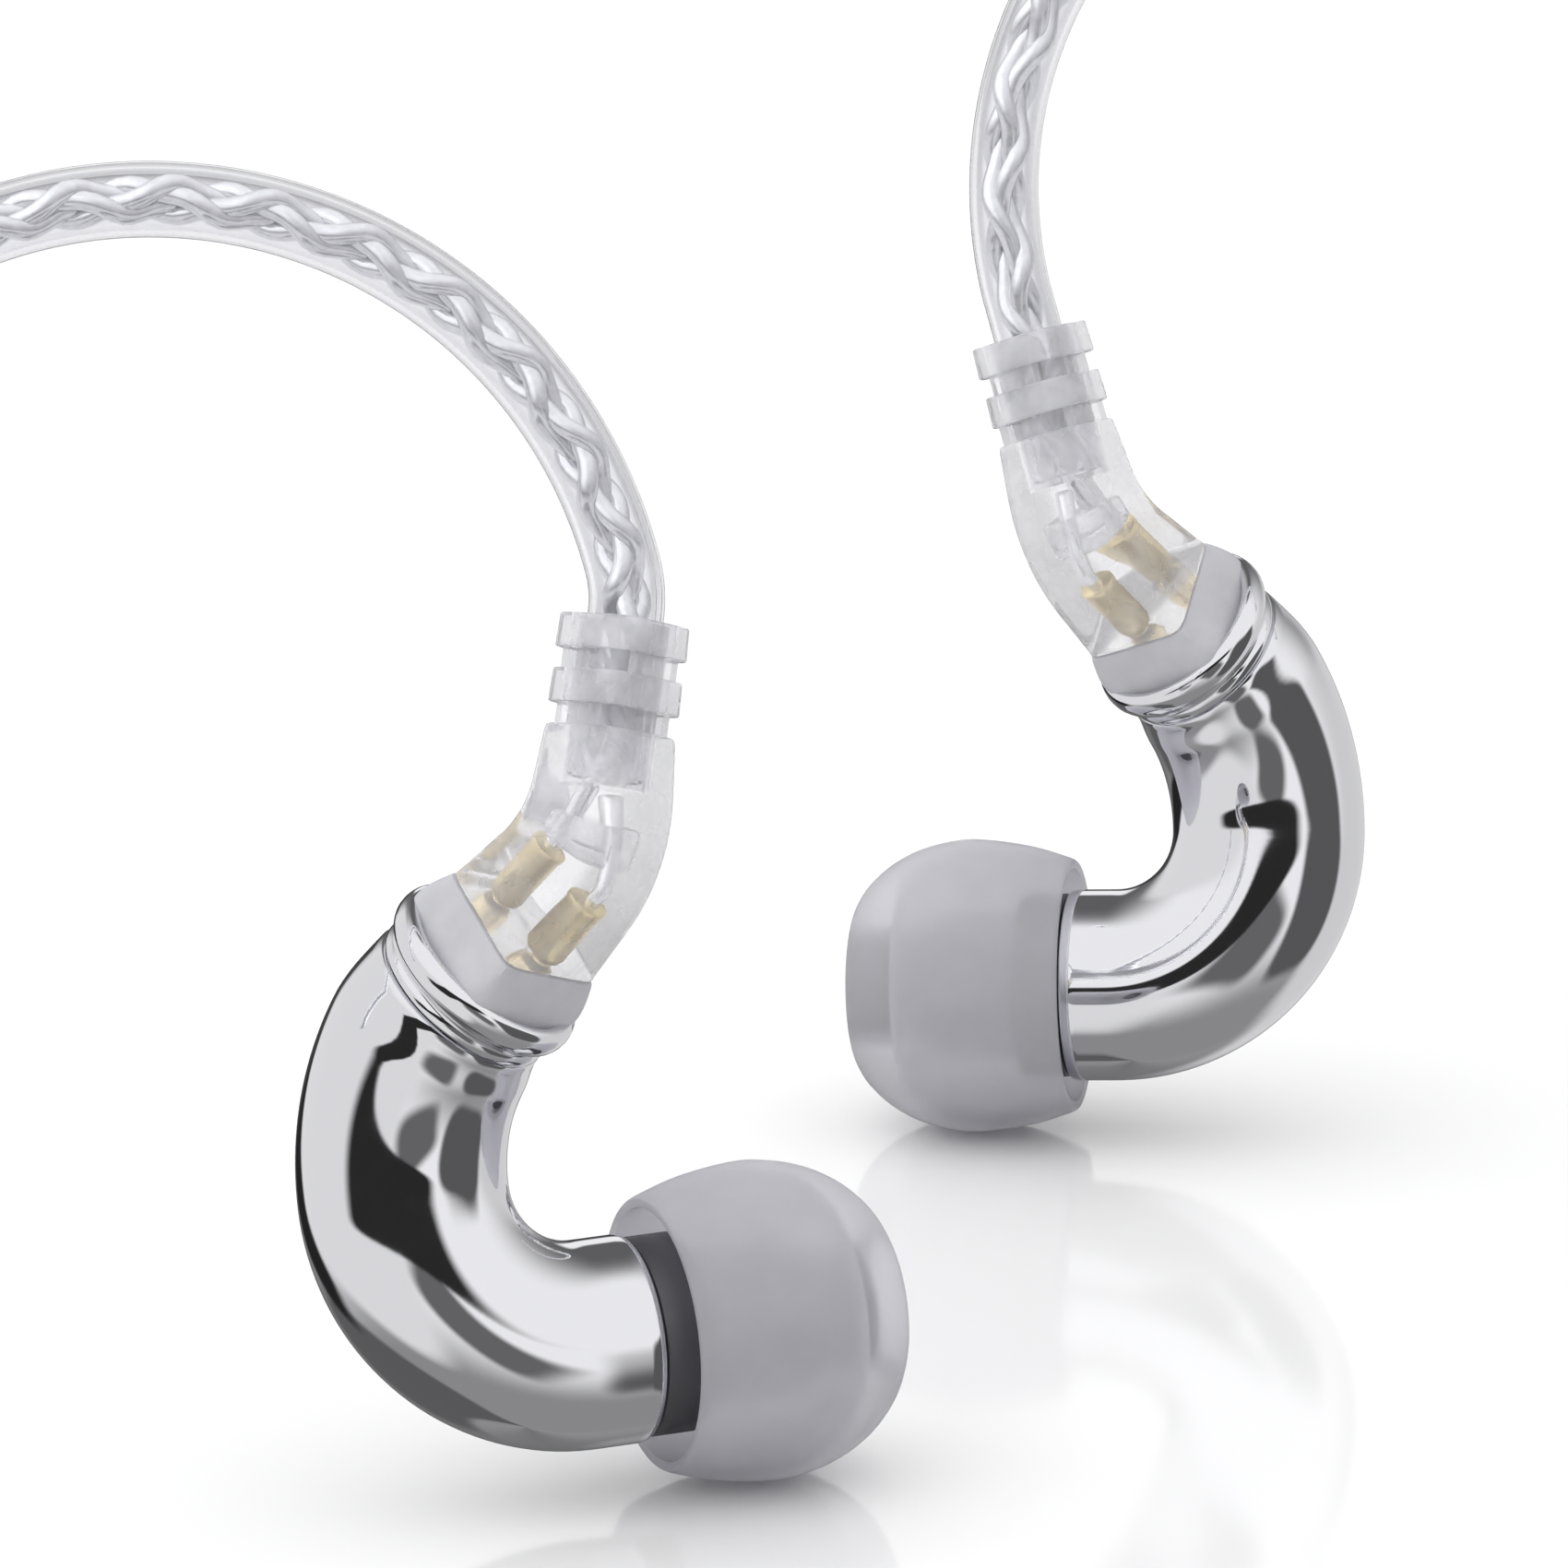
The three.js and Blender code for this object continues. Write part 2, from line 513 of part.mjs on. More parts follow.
// ---- the assembly ---------------------------------------------------------------------------
const pair = new THREE.Group();
pair.add(earpiece('left'), earpiece('right'));
cord(pair, 'left_cable', LEFT_ROUTE, BRANCH_R, 38);
cord(pair, 'right_cable', RIGHT_ROUTE, BRANCH_R, 38);
cord(pair, 'main_cable', MAIN_ROUTE, MAIN_R, 6);
cord(pair, 'jack_lead', LEAD_ROUTE, MAIN_R, 3);
coilParts(pair);
splitterParts(pair);
jackParts(pair);

export default pair;
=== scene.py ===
import json
import math

import bmesh
import bpy
from mathutils import Matrix, Vector


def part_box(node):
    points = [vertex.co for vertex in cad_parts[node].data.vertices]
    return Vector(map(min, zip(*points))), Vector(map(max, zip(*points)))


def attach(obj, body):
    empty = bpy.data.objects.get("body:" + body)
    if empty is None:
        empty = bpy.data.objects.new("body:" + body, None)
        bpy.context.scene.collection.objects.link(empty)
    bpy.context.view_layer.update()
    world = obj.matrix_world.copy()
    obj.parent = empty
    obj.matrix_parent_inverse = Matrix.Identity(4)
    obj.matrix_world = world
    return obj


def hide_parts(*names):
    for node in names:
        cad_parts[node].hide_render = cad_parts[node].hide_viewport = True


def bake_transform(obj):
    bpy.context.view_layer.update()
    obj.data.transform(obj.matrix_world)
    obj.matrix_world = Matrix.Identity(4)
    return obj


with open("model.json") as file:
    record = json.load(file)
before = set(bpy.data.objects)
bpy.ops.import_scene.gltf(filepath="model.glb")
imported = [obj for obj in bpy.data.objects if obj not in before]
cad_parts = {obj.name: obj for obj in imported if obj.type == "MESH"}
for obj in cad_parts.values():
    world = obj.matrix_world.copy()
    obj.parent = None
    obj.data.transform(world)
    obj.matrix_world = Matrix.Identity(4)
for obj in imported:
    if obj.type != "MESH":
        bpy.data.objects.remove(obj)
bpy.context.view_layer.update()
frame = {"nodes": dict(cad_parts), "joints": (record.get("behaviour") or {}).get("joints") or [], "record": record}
MM = 0.001
JOINTS = {joint["name"]: joint for joint in frame["joints"]}
MOUNTS = {mount["name"]: mount for mount in frame["record"]["mounts"]}
SIDES = {"left": 1, "right": -1}  # the right earpiece is the left one's mirror image

# ---- the camera's place ----
LENS = 269.8
SENSOR_WIDTH = 36.0
CAMERA_PLACE = (-2.34, -455.28, 143.57)
CAMERA_DIP = 15  # degrees below the horizon

# ---- driving dimensions, as in the part ----
TIP_FACE_X = 9.4  # front face of the ear tip, along the nozzle
TIP_FACE_OUT = 2.75  # and how far from the nozzle's axis its mount lies
NOZZLE_LIP_X = 8.7
TUBE_R = 4.05
TUBE_BORE_R = 3.5
NECK_REACH = 2.4  # the tube narrows this far before its socket end
NECK_DEPTH = 0.26
TUBE_START_X = -0.4
TUBE_STRAIGHT = 2.0
LOWER_BEND_R = 6.5
UPPER_BEND_R = 9.2
UPPER_BEND_ANGLE = math.radians(53.8)
UPPER_BEND_SIDE = Vector((0.621, -0.784, 0)).normalized()
HOOK_AXIS = Vector((0.26, -0.02, 0.965)).normalized()
HOOK_LEAN = Vector((-0.96, 0.25, 0))  # the way the ear hook bends over
PLUG_FOOT = 3.84  # from the socket to the plug's lower face
PLUG_BEND = 8.3  # and to the plug's corner
PLUG_HALF = 2.56
PLUG_TAPER = 0.5
BEND_REACH = 2.2  # the corner is rounded over this length on both sides
BODY_TOP = 4.5  # from the corner along the hook's axis
PIN_OFFSET = 1.35
SOCKET_BORE_R = 0.84
HOOK_R = 1.45
HOOK_BORE_R = 1.18
HOOK_START = 2.6
HOOK_KNEE_R = 5.0
HOOK_BEND_R = 18.3
HOOK_TURN = math.radians(188)
HOOK_TAIL = 8.0
HOOK_BRAID_R = 1.07
HOOK_STEP = 0.35  # between the points that the braids in the hooks follow
LEAD_R = 0.36  # each wire from the braid to its pin
# How each soft hook leaves its plug, and how tightly the cable in it is braided.
HOOKS = {
    "left": {"straight": 8.9, "knee": math.radians(22), "pitch": 7.6},
    "right": {"straight": 10.5, "knee": math.radians(2), "pitch": 9.4},
}
BRANCH_R = 1.0
BRANCH_STEP = 0.5
BRANCH_PATH_STEP = 2.0  # between the points of the path that its cord is declared by
MAIN_R = 1.3
MAIN_PITCH = 9.6
MAIN_STEP = 0.7
MAIN_PATH_STEP = 1.3
FLAT = BRANCH_R + 0.1  # height of a branch that lies on the table
COIL_CENTRE = Vector((-15.0, -89.0, 0.0))
COIL_R = 10.1  # middle turn of the coil, at its round ends
COIL_STRAIGHT = 18.0
STRAIGHT_STEPS = 12
BEND_STEPS = 24
PAIR_X = 14.05  # where the two branches lie side by side
PAIR_PITCH = 3.2  # between their middles
PAIR_Z = 1.8
SPLIT_Y = -80.0  # where they go into the splitter

# A braid's strands and how they lie, as shares of the braid's radius.
STRAND = 0.37
STRAND_MIDDLE = 0.45
STRAND_SWAY = 0.18

CREASE = 35.0  # degrees; a steeper edge stays sharp

X, Y, Z = Vector((1, 0, 0)), Vector((0, 1, 0)), Vector((0, 0, 1))


# ---- the camera ----
def camera():
    """A long lens that looks along +Y and a little down."""
    data = bpy.data.cameras.new("camera")
    data.sensor_width = SENSOR_WIDTH
    data.lens = LENS
    data.clip_start, data.clip_end = 0.05, 20.0
    viewer = bpy.data.objects.new("camera", data)
    viewer.location = Vector(CAMERA_PLACE) * MM
    viewer.rotation_euler = (math.radians(90 - CAMERA_DIP), 0, 0)
    bpy.context.scene.collection.objects.link(viewer)
    bpy.context.scene.camera = viewer


# ---- lines and skins ----
def arc(start, heading, side, radius, angle, steps):
    """The points of an arc that sets out along heading and bends towards side, and its end heading."""
    points = []
    for i in range(1, steps + 1):
        turned = angle * i / steps
        ahead = heading * (radius * math.sin(turned))
        points.append(start + ahead + side * (radius * (1 - math.cos(turned))))
    return points, (heading * math.cos(angle) + side * math.sin(angle)).normalized()


def smooth_line(knots, steps):
    """A Catmull-Rom line through knots, with that many steps between two of them."""
    knots = [Vector(k) for k in knots]
    padded = [knots[0] * 2 - knots[1], *knots, knots[-1] * 2 - knots[-2]]
    points = [knots[0]]
    for a, b, c, d in zip(padded, padded[1:], padded[2:], padded[3:]):
        for i in range(1, steps + 1):
            t = i / steps
            bend = (a * 2 - b * 5 + c * 4 - d) * t * t + (b * 3 - a - c * 3 + d) * t ** 3
            points.append((b * 2 + (c - a) * t + bend) / 2)
    return points


class Rail:
    """A line that rings are set along. Each place on it has a point and two directions across it."""

    def __init__(self, points, across):
        self.points = points
        self.marks = [0.0]
        for a, b in zip(points, points[1:]):
            self.marks.append(self.marks[-1] + (b - a).length)
        self.length = self.marks[-1]
        last = len(points) - 1
        self.tangents = [
            (points[min(i + 1, last)] - points[max(i - 1, 0)]).normalized()
            for i in range(last + 1)
        ]
        self.acrosses = []
        for tangent in self.tangents:
            across = (across - tangent * across.dot(tangent)).normalized()
            self.acrosses.append(across)

    def at(self, distance):
        """The point at that distance and its two directions. It goes on straight past both ends."""
        i = 0
        while i < len(self.marks) - 2 and self.marks[i + 1] < distance:
            i += 1
        share = (distance - self.marks[i]) / (self.marks[i + 1] - self.marks[i])
        held = min(max(share, 0.0), 1.0)
        tangent = self.tangents[i].lerp(self.tangents[i + 1], held).normalized()
        across = self.acrosses[i].lerp(self.acrosses[i + 1], held)
        across = (across - tangent * across.dot(tangent)).normalized()
        point = self.points[i].lerp(self.points[i + 1], share)
        return point, across, tangent.cross(across)


def straight(origin, axis, across):
    return Rail([origin, origin + axis * 10], across)


def ring(rail, distance, half, sides, exponent=2.0, centre=(0.0, 0.0)):
    """A ring round the rail: a circle, or with a larger exponent a rounded square."""
    point, across, second = rail.at(distance)
    point = point + across * centre[0] + second * centre[1]
    corners = []
    for k in range(sides):
        c, s = math.cos(math.tau * k / sides), math.sin(math.tau * k / sides)
        out = half * (abs(c) ** exponent + abs(s) ** exponent) ** (-1 / exponent)
        corners.append(point + across * (out * c) + second * (out * s))
    return corners


def loft(rings, closed=False):
    """Vertices and faces of a skin over rings. An open one is capped at both ends."""
    count = len(rings[0])
    vertices = [corner for r in rings for corner in r]
    faces = []
    for i in range(len(rings) if closed else len(rings) - 1):
        a, b = i * count, (i + 1) % len(rings) * count
        for k in range(count):
            faces.append((a + k, a + (k + 1) % count, b + (k + 1) % count, b + k))
    if not closed:
        faces.append(tuple(range(count)))
        faces.append(tuple(range(len(vertices) - count, len(vertices))))
    return vertices, faces


def turned(rail, outline, sides=64, closed=False, exponent=2.0, centre=(0.0, 0.0)):
    """A skin whose rings are [distance, half width] or [distance, half width, exponent]."""
    rings = []
    for distance, half, *own in outline:
        bend = own[0] if own else exponent
        rings.append(ring(rail, distance, max(half, 1e-4), sides, bend, centre))
    return loft(rings, closed)


def rounded(outline, reach, closed=True, steps=4):
    """The outline with its corners cut round. Each cut starts at most reach from its corner."""
    knots = [Vector(knot) for knot in outline]
    last = len(knots) - 1
    points = []
    for i, knot in enumerate(knots):
        if not closed and i in (0, last):
            points.append(knot)
            continue
        before, after = knots[i - 1], knots[(i + 1) % len(knots)]
        start = knot + (before - knot) * min(reach / (before - knot).length, 0.45)
        end = knot + (after - knot) * min(reach / (after - knot).length, 0.45)
        for k in range(steps + 1):
            t = k / steps
            points.append(start * (1 - t) ** 2 + knot * (2 * t * (1 - t)) + end * t * t)
    return [list(point) for point in points]


def tube(points, across, radius, sides=10):
    """A round rod along points, with flat domes at its ends."""
    rail = Rail(points, across)
    start, end = [], []
    for share in (1.0, 0.7, 0.3):
        back, half = radius * 0.3 * (1 - share), radius * (1 - share ** 2) ** 0.5 + 1e-4
        start.append(ring(rail, back, half, sides))
        end.insert(0, ring(rail, rail.length - back, half, sides))
    middle = [ring(rail, mark, radius, sides) for mark in rail.marks[1:-1]]
    return loft([*start, *middle, *end])


def braid(points, across, radius, pitch, phase=0.0, sides=10):
    """Four strands inside radius: two turn one way and two the other, over and under each other."""
    middle, sway = STRAND_MIDDLE * radius, STRAND_SWAY * radius
    rail = Rail(points, across)
    solids = []
    for hand in (1, -1):
        for start in (0.0, math.pi):
            line = []
            for mark in rail.marks:
                point, u, v = rail.at(mark)
                turn = math.tau * mark / pitch + phase
                reach = middle + sway * hand * math.cos(2 * turn)
                angle = hand * turn + start
                line.append(point + u * (reach * math.cos(angle)) + v * (reach * math.sin(angle)))
            solids.append(tube(line, across, STRAND * radius, sides))
    return solids


# ---- pieces ----
def piece(name, body, look, solids, place=None, replaces=(), sharp=CREASE):
    """One object from skins in millimetres, riding on a body and standing for CAD nodes."""
    mesh = bpy.data.meshes.new(name)
    bm = bmesh.new()
    for vertices, faces in solids:
        placed = [(place @ v if place else v) * MM for v in vertices]
        made = [bm.verts.new(v) for v in placed]
        for face in faces:
            bm.faces.new([made[i] for i in face])
    bmesh.ops.remove_doubles(bm, verts=bm.verts, dist=2e-7)
    bmesh.ops.recalc_face_normals(bm, faces=bm.faces)
    bm.to_mesh(mesh)
    bm.free()
    mesh.polygons.foreach_set("use_smooth", [True] * len(mesh.polygons))
    mesh.set_sharp_from_angle(angle=math.radians(sharp))
    mesh.materials.append(look)
    thing = bpy.data.objects.new(name, mesh)
    bpy.context.scene.collection.objects.link(thing)
    if body:
        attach(thing, body)
    if replaces:
        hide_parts(*replaces)
    return thing


# ---- materials ----
NOISE_LOW, NOISE_HIGH = 0.3, 0.7  # nearly all of a noise lies between these


def shader(name, colour, roughness, metallic=0.0, **sockets):
    """A new material. The other sockets are named with underscores for spaces."""
    look = bpy.data.materials.new(name)
    look.use_nodes = True
    surface = look.node_tree.nodes["Principled BSDF"]
    surface.inputs["Base Color"].default_value = (*colour, 1)
    surface.inputs["Roughness"].default_value = roughness
    surface.inputs["Metallic"].default_value = metallic
    for socket, value in sockets.items():
        surface.inputs[socket.replace("_", " ")].default_value = value
    return look


def grain(look, size, detail=3.0, stretch=(1, 1, 1)):
    """Noise with features of that size in millimetres, by place on the object."""
    nodes, links = look.node_tree.nodes, look.node_tree.links
    place = nodes.new("ShaderNodeTexCoord")
    mapping = nodes.new("ShaderNodeMapping")
    mapping.inputs["Scale"].default_value = [s / (size * MM) for s in stretch]
    noise = nodes.new("ShaderNodeTexNoise")
    noise.inputs["Scale"].default_value = 1.0
    noise.inputs["Detail"].default_value = detail
    links.new(place.outputs["Object"], mapping.inputs["Vector"])
    links.new(mapping.outputs["Vector"], noise.inputs["Vector"])
    return noise.outputs["Fac"]


def vary(look, source, socket, low, high):
    """Spreads a source over a socket's values, from low to high."""
    nodes, links = look.node_tree.nodes, look.node_tree.links
    spread = nodes.new("ShaderNodeMapRange")
    spread.inputs["From Min"].default_value = NOISE_LOW
    spread.inputs["From Max"].default_value = NOISE_HIGH
    spread.inputs["To Min"].default_value = low
    spread.inputs["To Max"].default_value = high
    links.new(source, spread.inputs["Value"])
    links.new(spread.outputs["Result"], nodes["Principled BSDF"].inputs[socket])


def tint(look, source, first, last):
    """Spreads a source over the base colour, from the first colour to the last."""
    nodes, links = look.node_tree.nodes, look.node_tree.links
    ramp = nodes.new("ShaderNodeValToRGB")
    points = ramp.color_ramp.elements
    points[0].position, points[1].position = NOISE_LOW, NOISE_HIGH
    points[0].color, points[1].color = (*first, 1), (*last, 1)
    links.new(source, ramp.inputs["Fac"])
    links.new(ramp.outputs["Color"], nodes["Principled BSDF"].inputs["Base Color"])


def bump(look, source, depth, strength=0.5):
    """Raises the surface by depth millimetres where the source is high."""
    nodes, links = look.node_tree.nodes, look.node_tree.links
    raised = nodes.new("ShaderNodeBump")
    raised.inputs["Strength"].default_value = strength
    raised.inputs["Distance"].default_value = depth * MM
    links.new(source, raised.inputs["Height"])
    links.new(raised.outputs["Normal"], nodes["Principled BSDF"].inputs["Normal"])


def chrome():
    look = shader("polished_chrome", (0.80, 0.80, 0.83), 0.04, 1.0)
    vary(look, grain(look, 2.5), "Roughness", 0.02, 0.07)
    bump(look, grain(look, 6.0, 1.0), 0.02, 0.12)
    return look


def shade_darkened_chrome():
    # Painted shade: the base colour is near black so that this chrome reads as the shaded groove between the tube
    # and the tip.
    look = shader("painted_shade_nickel", (0.10, 0.10, 0.11), 0.4, 0.6)
    vary(look, grain(look, 0.8), "Roughness", 0.34, 0.5)
    bump(look, grain(look, 0.15), 0.01, 0.2)
    return look


def steel():
    look = shader("brushed_steel", (0.55, 0.55, 0.57), 0.3, 1.0)
    lines = grain(look, 0.6, 4.0, (8, 1, 8))
    vary(look, lines, "Roughness", 0.2, 0.42)
    bump(look, lines, 0.01, 0.3)
    return look


def gold():
    look = shader("gold_plate", (0.78, 0.63, 0.32), 0.3, 1.0)
    source = grain(look, 0.7)
    tint(look, source, (0.72, 0.57, 0.28), (0.84, 0.70, 0.40))
    vary(look, source, "Roughness", 0.24, 0.4)
    bump(look, grain(look, 0.12), 0.006, 0.3)
    return look


def silicone():
    look = shader(
        "translucent_silicone", (0.70, 0.695, 0.73), 0.45,
        Transmission_Weight=0.65, IOR=1.1, Coat_Weight=0.1, Coat_Roughness=0.4,
    )
    source = grain(look, 2.0)
    tint(look, source, (0.68, 0.675, 0.71), (0.72, 0.715, 0.75))
    vary(look, source, "Roughness", 0.42, 0.52)
    bump(look, grain(look, 0.2), 0.004, 0.2)
    return look


def grey_resin():
    look = shader("frosted_grey_resin", (0.50, 0.50, 0.53), 0.5)
    source = grain(look, 1.2)
    tint(look, source, (0.47, 0.47, 0.50), (0.52, 0.52, 0.55))
    vary(look, source, "Roughness", 0.42, 0.58)
    bump(look, grain(look, 0.12), 0.006, 0.25)
    return look


def milky_resin():
    """Clear moulded plastic with cloudy patches in it."""
    look = shader("cloudy_clear_resin", (0.92, 0.92, 0.94), 0.08, IOR=1.12)
    clouds = grain(look, 1.6, 2.0)
    tint(look, clouds, (0.905, 0.905, 0.925), (0.935, 0.935, 0.955))
    vary(look, clouds, "Transmission Weight", 0.80, 0.68)
    vary(look, grain(look, 1.4), "Roughness", 0.03, 0.09)
    bump(look, grain(look, 1.2, 1.0), 0.005, 0.1)
    return look


def clear_sleeve():
    look = shader("clear_sleeve", (0.88, 0.88, 0.90), 0.03, Transmission_Weight=1.0, IOR=1.4)
    vary(look, grain(look, 1.5), "Roughness", 0.01, 0.07)
    bump(look, grain(look, 3.0, 1.0), 0.03, 0.15)
    return look


def strand_jacket():
    """Silver-plated wire seen through a thin clear jacket."""
    look = shader(
        "silver_strand", (0.80, 0.80, 0.82), 0.16, 0.8, Coat_Weight=0.6, Coat_Roughness=0.06,
    )
    wires = grain(look, 0.3, 1.0)
    tint(look, wires, (0.78, 0.78, 0.80), (0.84, 0.84, 0.86))
    vary(look, wires, "Roughness", 0.13, 0.2)
    bump(look, wires, 0.006, 0.15)
    return look


def film():
    look = shader("pale_film", (0.66, 0.62, 0.52), 0.42)
    vary(look, grain(look, 0.4), "Roughness", 0.34, 0.5)
    bump(look, grain(look, 0.2), 0.01, 0.3)
    return look


def magnet():
    look = shader("sintered_magnet", (0.1, 0.1, 0.11), 0.45, 1.0)
    vary(look, grain(look, 0.3), "Roughness", 0.35, 0.6)
    bump(look, grain(look, 0.15), 0.01, 0.4)
    return look


def enamel():
    look = shader("enamelled_copper", (0.52, 0.16, 0.06), 0.35, 0.6, Coat_Weight=0.5)
    vary(look, grain(look, 0.4), "Roughness", 0.25, 0.45)
    bump(look, grain(look, 0.15), 0.01, 0.3)
    return look


def dark_strap():
    """Woven hook-and-loop strap."""
    look = shader("woven_strap", (0.035, 0.035, 0.04), 0.75, Sheen_Weight=0.3)
    threads = grain(look, 0.35, 2.0, (1, 3, 1))
    tint(look, threads, (0.025, 0.025, 0.028), (0.06, 0.06, 0.066))
    vary(look, threads, "Roughness", 0.6, 0.9)
    bump(look, threads, 0.08, 0.8)
    return look


def white_floor():
    look = shader("white_floor", (0.82, 0.82, 0.825), 0.1, Specular_IOR_Level=0.75)
    vary(look, grain(look, 8.0), "Roughness", 0.09, 0.12)
    return look


# ---- the earpiece's own lines ----
BODY_START = Vector((TUBE_START_X, 0, 0))
LOWER_START = BODY_START - X * TUBE_STRAIGHT
LOWER_POINTS, _ = arc(LOWER_START, -X, Z, LOWER_BEND_R, math.pi / 2, 40)
UPPER_POINTS, SOCKET_AXIS = arc(
    LOWER_POINTS[-1], Z, UPPER_BEND_SIDE, UPPER_BEND_R, UPPER_BEND_ANGLE, 34
)
BODY_RAIL = Rail(
    [BODY_START, BODY_START - X, LOWER_START, *LOWER_POINTS, *UPPER_POINTS], Y
)
SOCKET = UPPER_POINTS[-1]
ACROSS = HOOK_AXIS.cross(SOCKET_AXIS).normalized()
PIN_LINE = SOCKET_AXIS.cross(ACROSS).normalized()
CORNER = SOCKET + SOCKET_AXIS * PLUG_BEND
HOOK_SIDE = (HOOK_LEAN - HOOK_AXIS * HOOK_LEAN.dot(HOOK_AXIS)).normalized()
SOCKET_RAIL = straight(SOCKET, SOCKET_AXIS, ACROSS)
NOZZLE_RAIL = straight(Vector(), X, Y)
TOP_RAIL = straight(CORNER, HOOK_AXIS, ACROSS)


def plug_rail(start):
    """From that distance above the socket, round the plug's corner, to the plug's top."""
    before, after = CORNER - SOCKET_AXIS * BEND_REACH, CORNER + HOOK_AXIS * BEND_REACH
    points = [SOCKET + SOCKET_AXIS * start, before]
    for i in range(1, 13):
        t = i / 12
        points.append(before * (1 - t) ** 2 + CORNER * (2 * t * (1 - t)) + after * t * t)
    return Rail([*points, CORNER + HOOK_AXIS * BODY_TOP], ACROSS)


def hook_points(side, start):
    """The ear hook's middle line from that distance above the plug's corner to its far end."""
    knee_angle = HOOKS[side]["knee"]
    foot = CORNER + HOOK_AXIS * HOOKS[side]["straight"]
    points = [CORNER + HOOK_AXIS * start]
    while (foot - points[-1]).length > 0.6:
        points.append(points[-1] + HOOK_AXIS * 0.4)
    knee, heading = arc(foot, HOOK_AXIS, HOOK_SIDE, HOOK_KNEE_R, knee_angle, 6)
    bend_plane = HOOK_AXIS.cross(HOOK_SIDE)
    turn_side = bend_plane.cross(heading).normalized()
    rest = HOOK_TURN - knee_angle
    arch, heading = arc(knee[-1], heading, turn_side, HOOK_BEND_R, rest, 150)
    tail = [arch[-1] + heading * (HOOK_TAIL * i / 20) for i in range(1, 21)]
    return [*points, foot, *knee, *arch, *tail]


def columns(*vectors):
    return Matrix(vectors).transposed()


def furthest(node, axis):
    """How far along an axis a CAD node reaches, in millimetres."""
    return max((v.co / MM).dot(axis) for v in frame["nodes"][node].data.vertices)


def places(side):
    """The frames of an earpiece's tip and of the rest of it, from its two joints' axes, the tip's
    mount and the nozzle's reach."""
    nozzle = Vector(JOINTS[f"{side}_tip_pull"]["axis"])
    socket = Vector(JOINTS[f"{side}_plug_pull"]["axis"])
    own = columns(X, SOCKET_AXIS, X.cross(SOCKET_AXIS))
    here = columns(nozzle, socket, nozzle.cross(socket) * SIDES[side])
    turn = here @ own.inverted()
    face = Vector(MOUNTS[f"{side}_tip_face"]["pos_m"]) / MM
    tip = face - turn @ Vector((TIP_FACE_X, 0, TIP_FACE_OUT))
    slid = furthest(f"{side}_nozzle", nozzle) - NOZZLE_LIP_X - tip.dot(nozzle)
    turn = turn.to_4x4()
    return Matrix.Translation(tip) @ turn, Matrix.Translation(tip + nozzle * slid) @ turn


# ---- earpiece ----
def shell(side, place, looks):
    """The chrome tube, with rolled ends."""
    end = BODY_RAIL.length
    outline = [[1.6, TUBE_BORE_R], [0.25, TUBE_BORE_R], [0.06, 3.56], [0.0, 3.68], [0.0, 3.82]]
    outline += [[0.06, 3.95], [0.18, 4.02], [0.4, TUBE_R]]
    steps = 70
    for i in range(1, steps + 1):
        distance = 0.4 + (end - 0.6) * i / steps
        neck = max(0.0, (distance - end + NECK_REACH) / NECK_REACH)
        outline.append([distance, TUBE_R - NECK_DEPTH * neck * neck * (3 - 2 * neck)])
    outline += [[end - 0.06, 3.74], [end, 3.62], [end, TUBE_BORE_R], [end - 1.4, TUBE_BORE_R]]
    skin = turned(BODY_RAIL, outline, 72)
    piece(
        f"{side}_body_tube", "earphones", looks["chrome"], [skin],
        place, [f"{side}_shell"],
    )


def collar(side, place, looks):
    """The bead that is rolled round the socket, with a fine groove under it."""
    bead = [[-1.2, 2.6], [0.8, 2.6], [0.8, 3.3], [1.6, 3.36], [1.9, 3.42], [2.06, 3.56]]
    bead += [[2.08, 3.76], [1.98, 3.94], [1.78, 4.06], [1.5, 4.12], [1.2, 4.1], [0.96, 4.0]]
    bead += [[0.8, 3.86], [0.72, 3.7], [0.58, 3.66], [0.46, 3.72], [0.3, 3.76], [0.1, 3.74]]
    bead += [[0.04, 3.2], [-1.2, 3.2]]
    skin = turned(SOCKET_RAIL, rounded(bead, 0.08, steps=2), 72, closed=True)
    piece(
        f"{side}_rolled_lip", "earphones", looks["chrome"], [skin],
        place, [f"{side}_rear_collar"],
    )


def cut(thing, cutters):
    """Takes the cutters out of a piece and deletes them."""
    for cutter in cutters:
        step = thing.modifiers.new("cut", "BOOLEAN")
        step.object = cutter
        step.operation = "DIFFERENCE"
        step.solver = "EXACT"
    bpy.context.view_layer.update()
    result = thing.evaluated_get(bpy.context.evaluated_depsgraph_get())
    mesh = bpy.data.meshes.new_from_object(result)
    thing.modifiers.clear()
    thing.data = mesh
    mesh.polygons.foreach_set("use_smooth", [True] * len(mesh.polygons))
    mesh.set_sharp_from_angle(angle=math.radians(CREASE))
    for cutter in cutters:
        bpy.data.objects.remove(cutter)


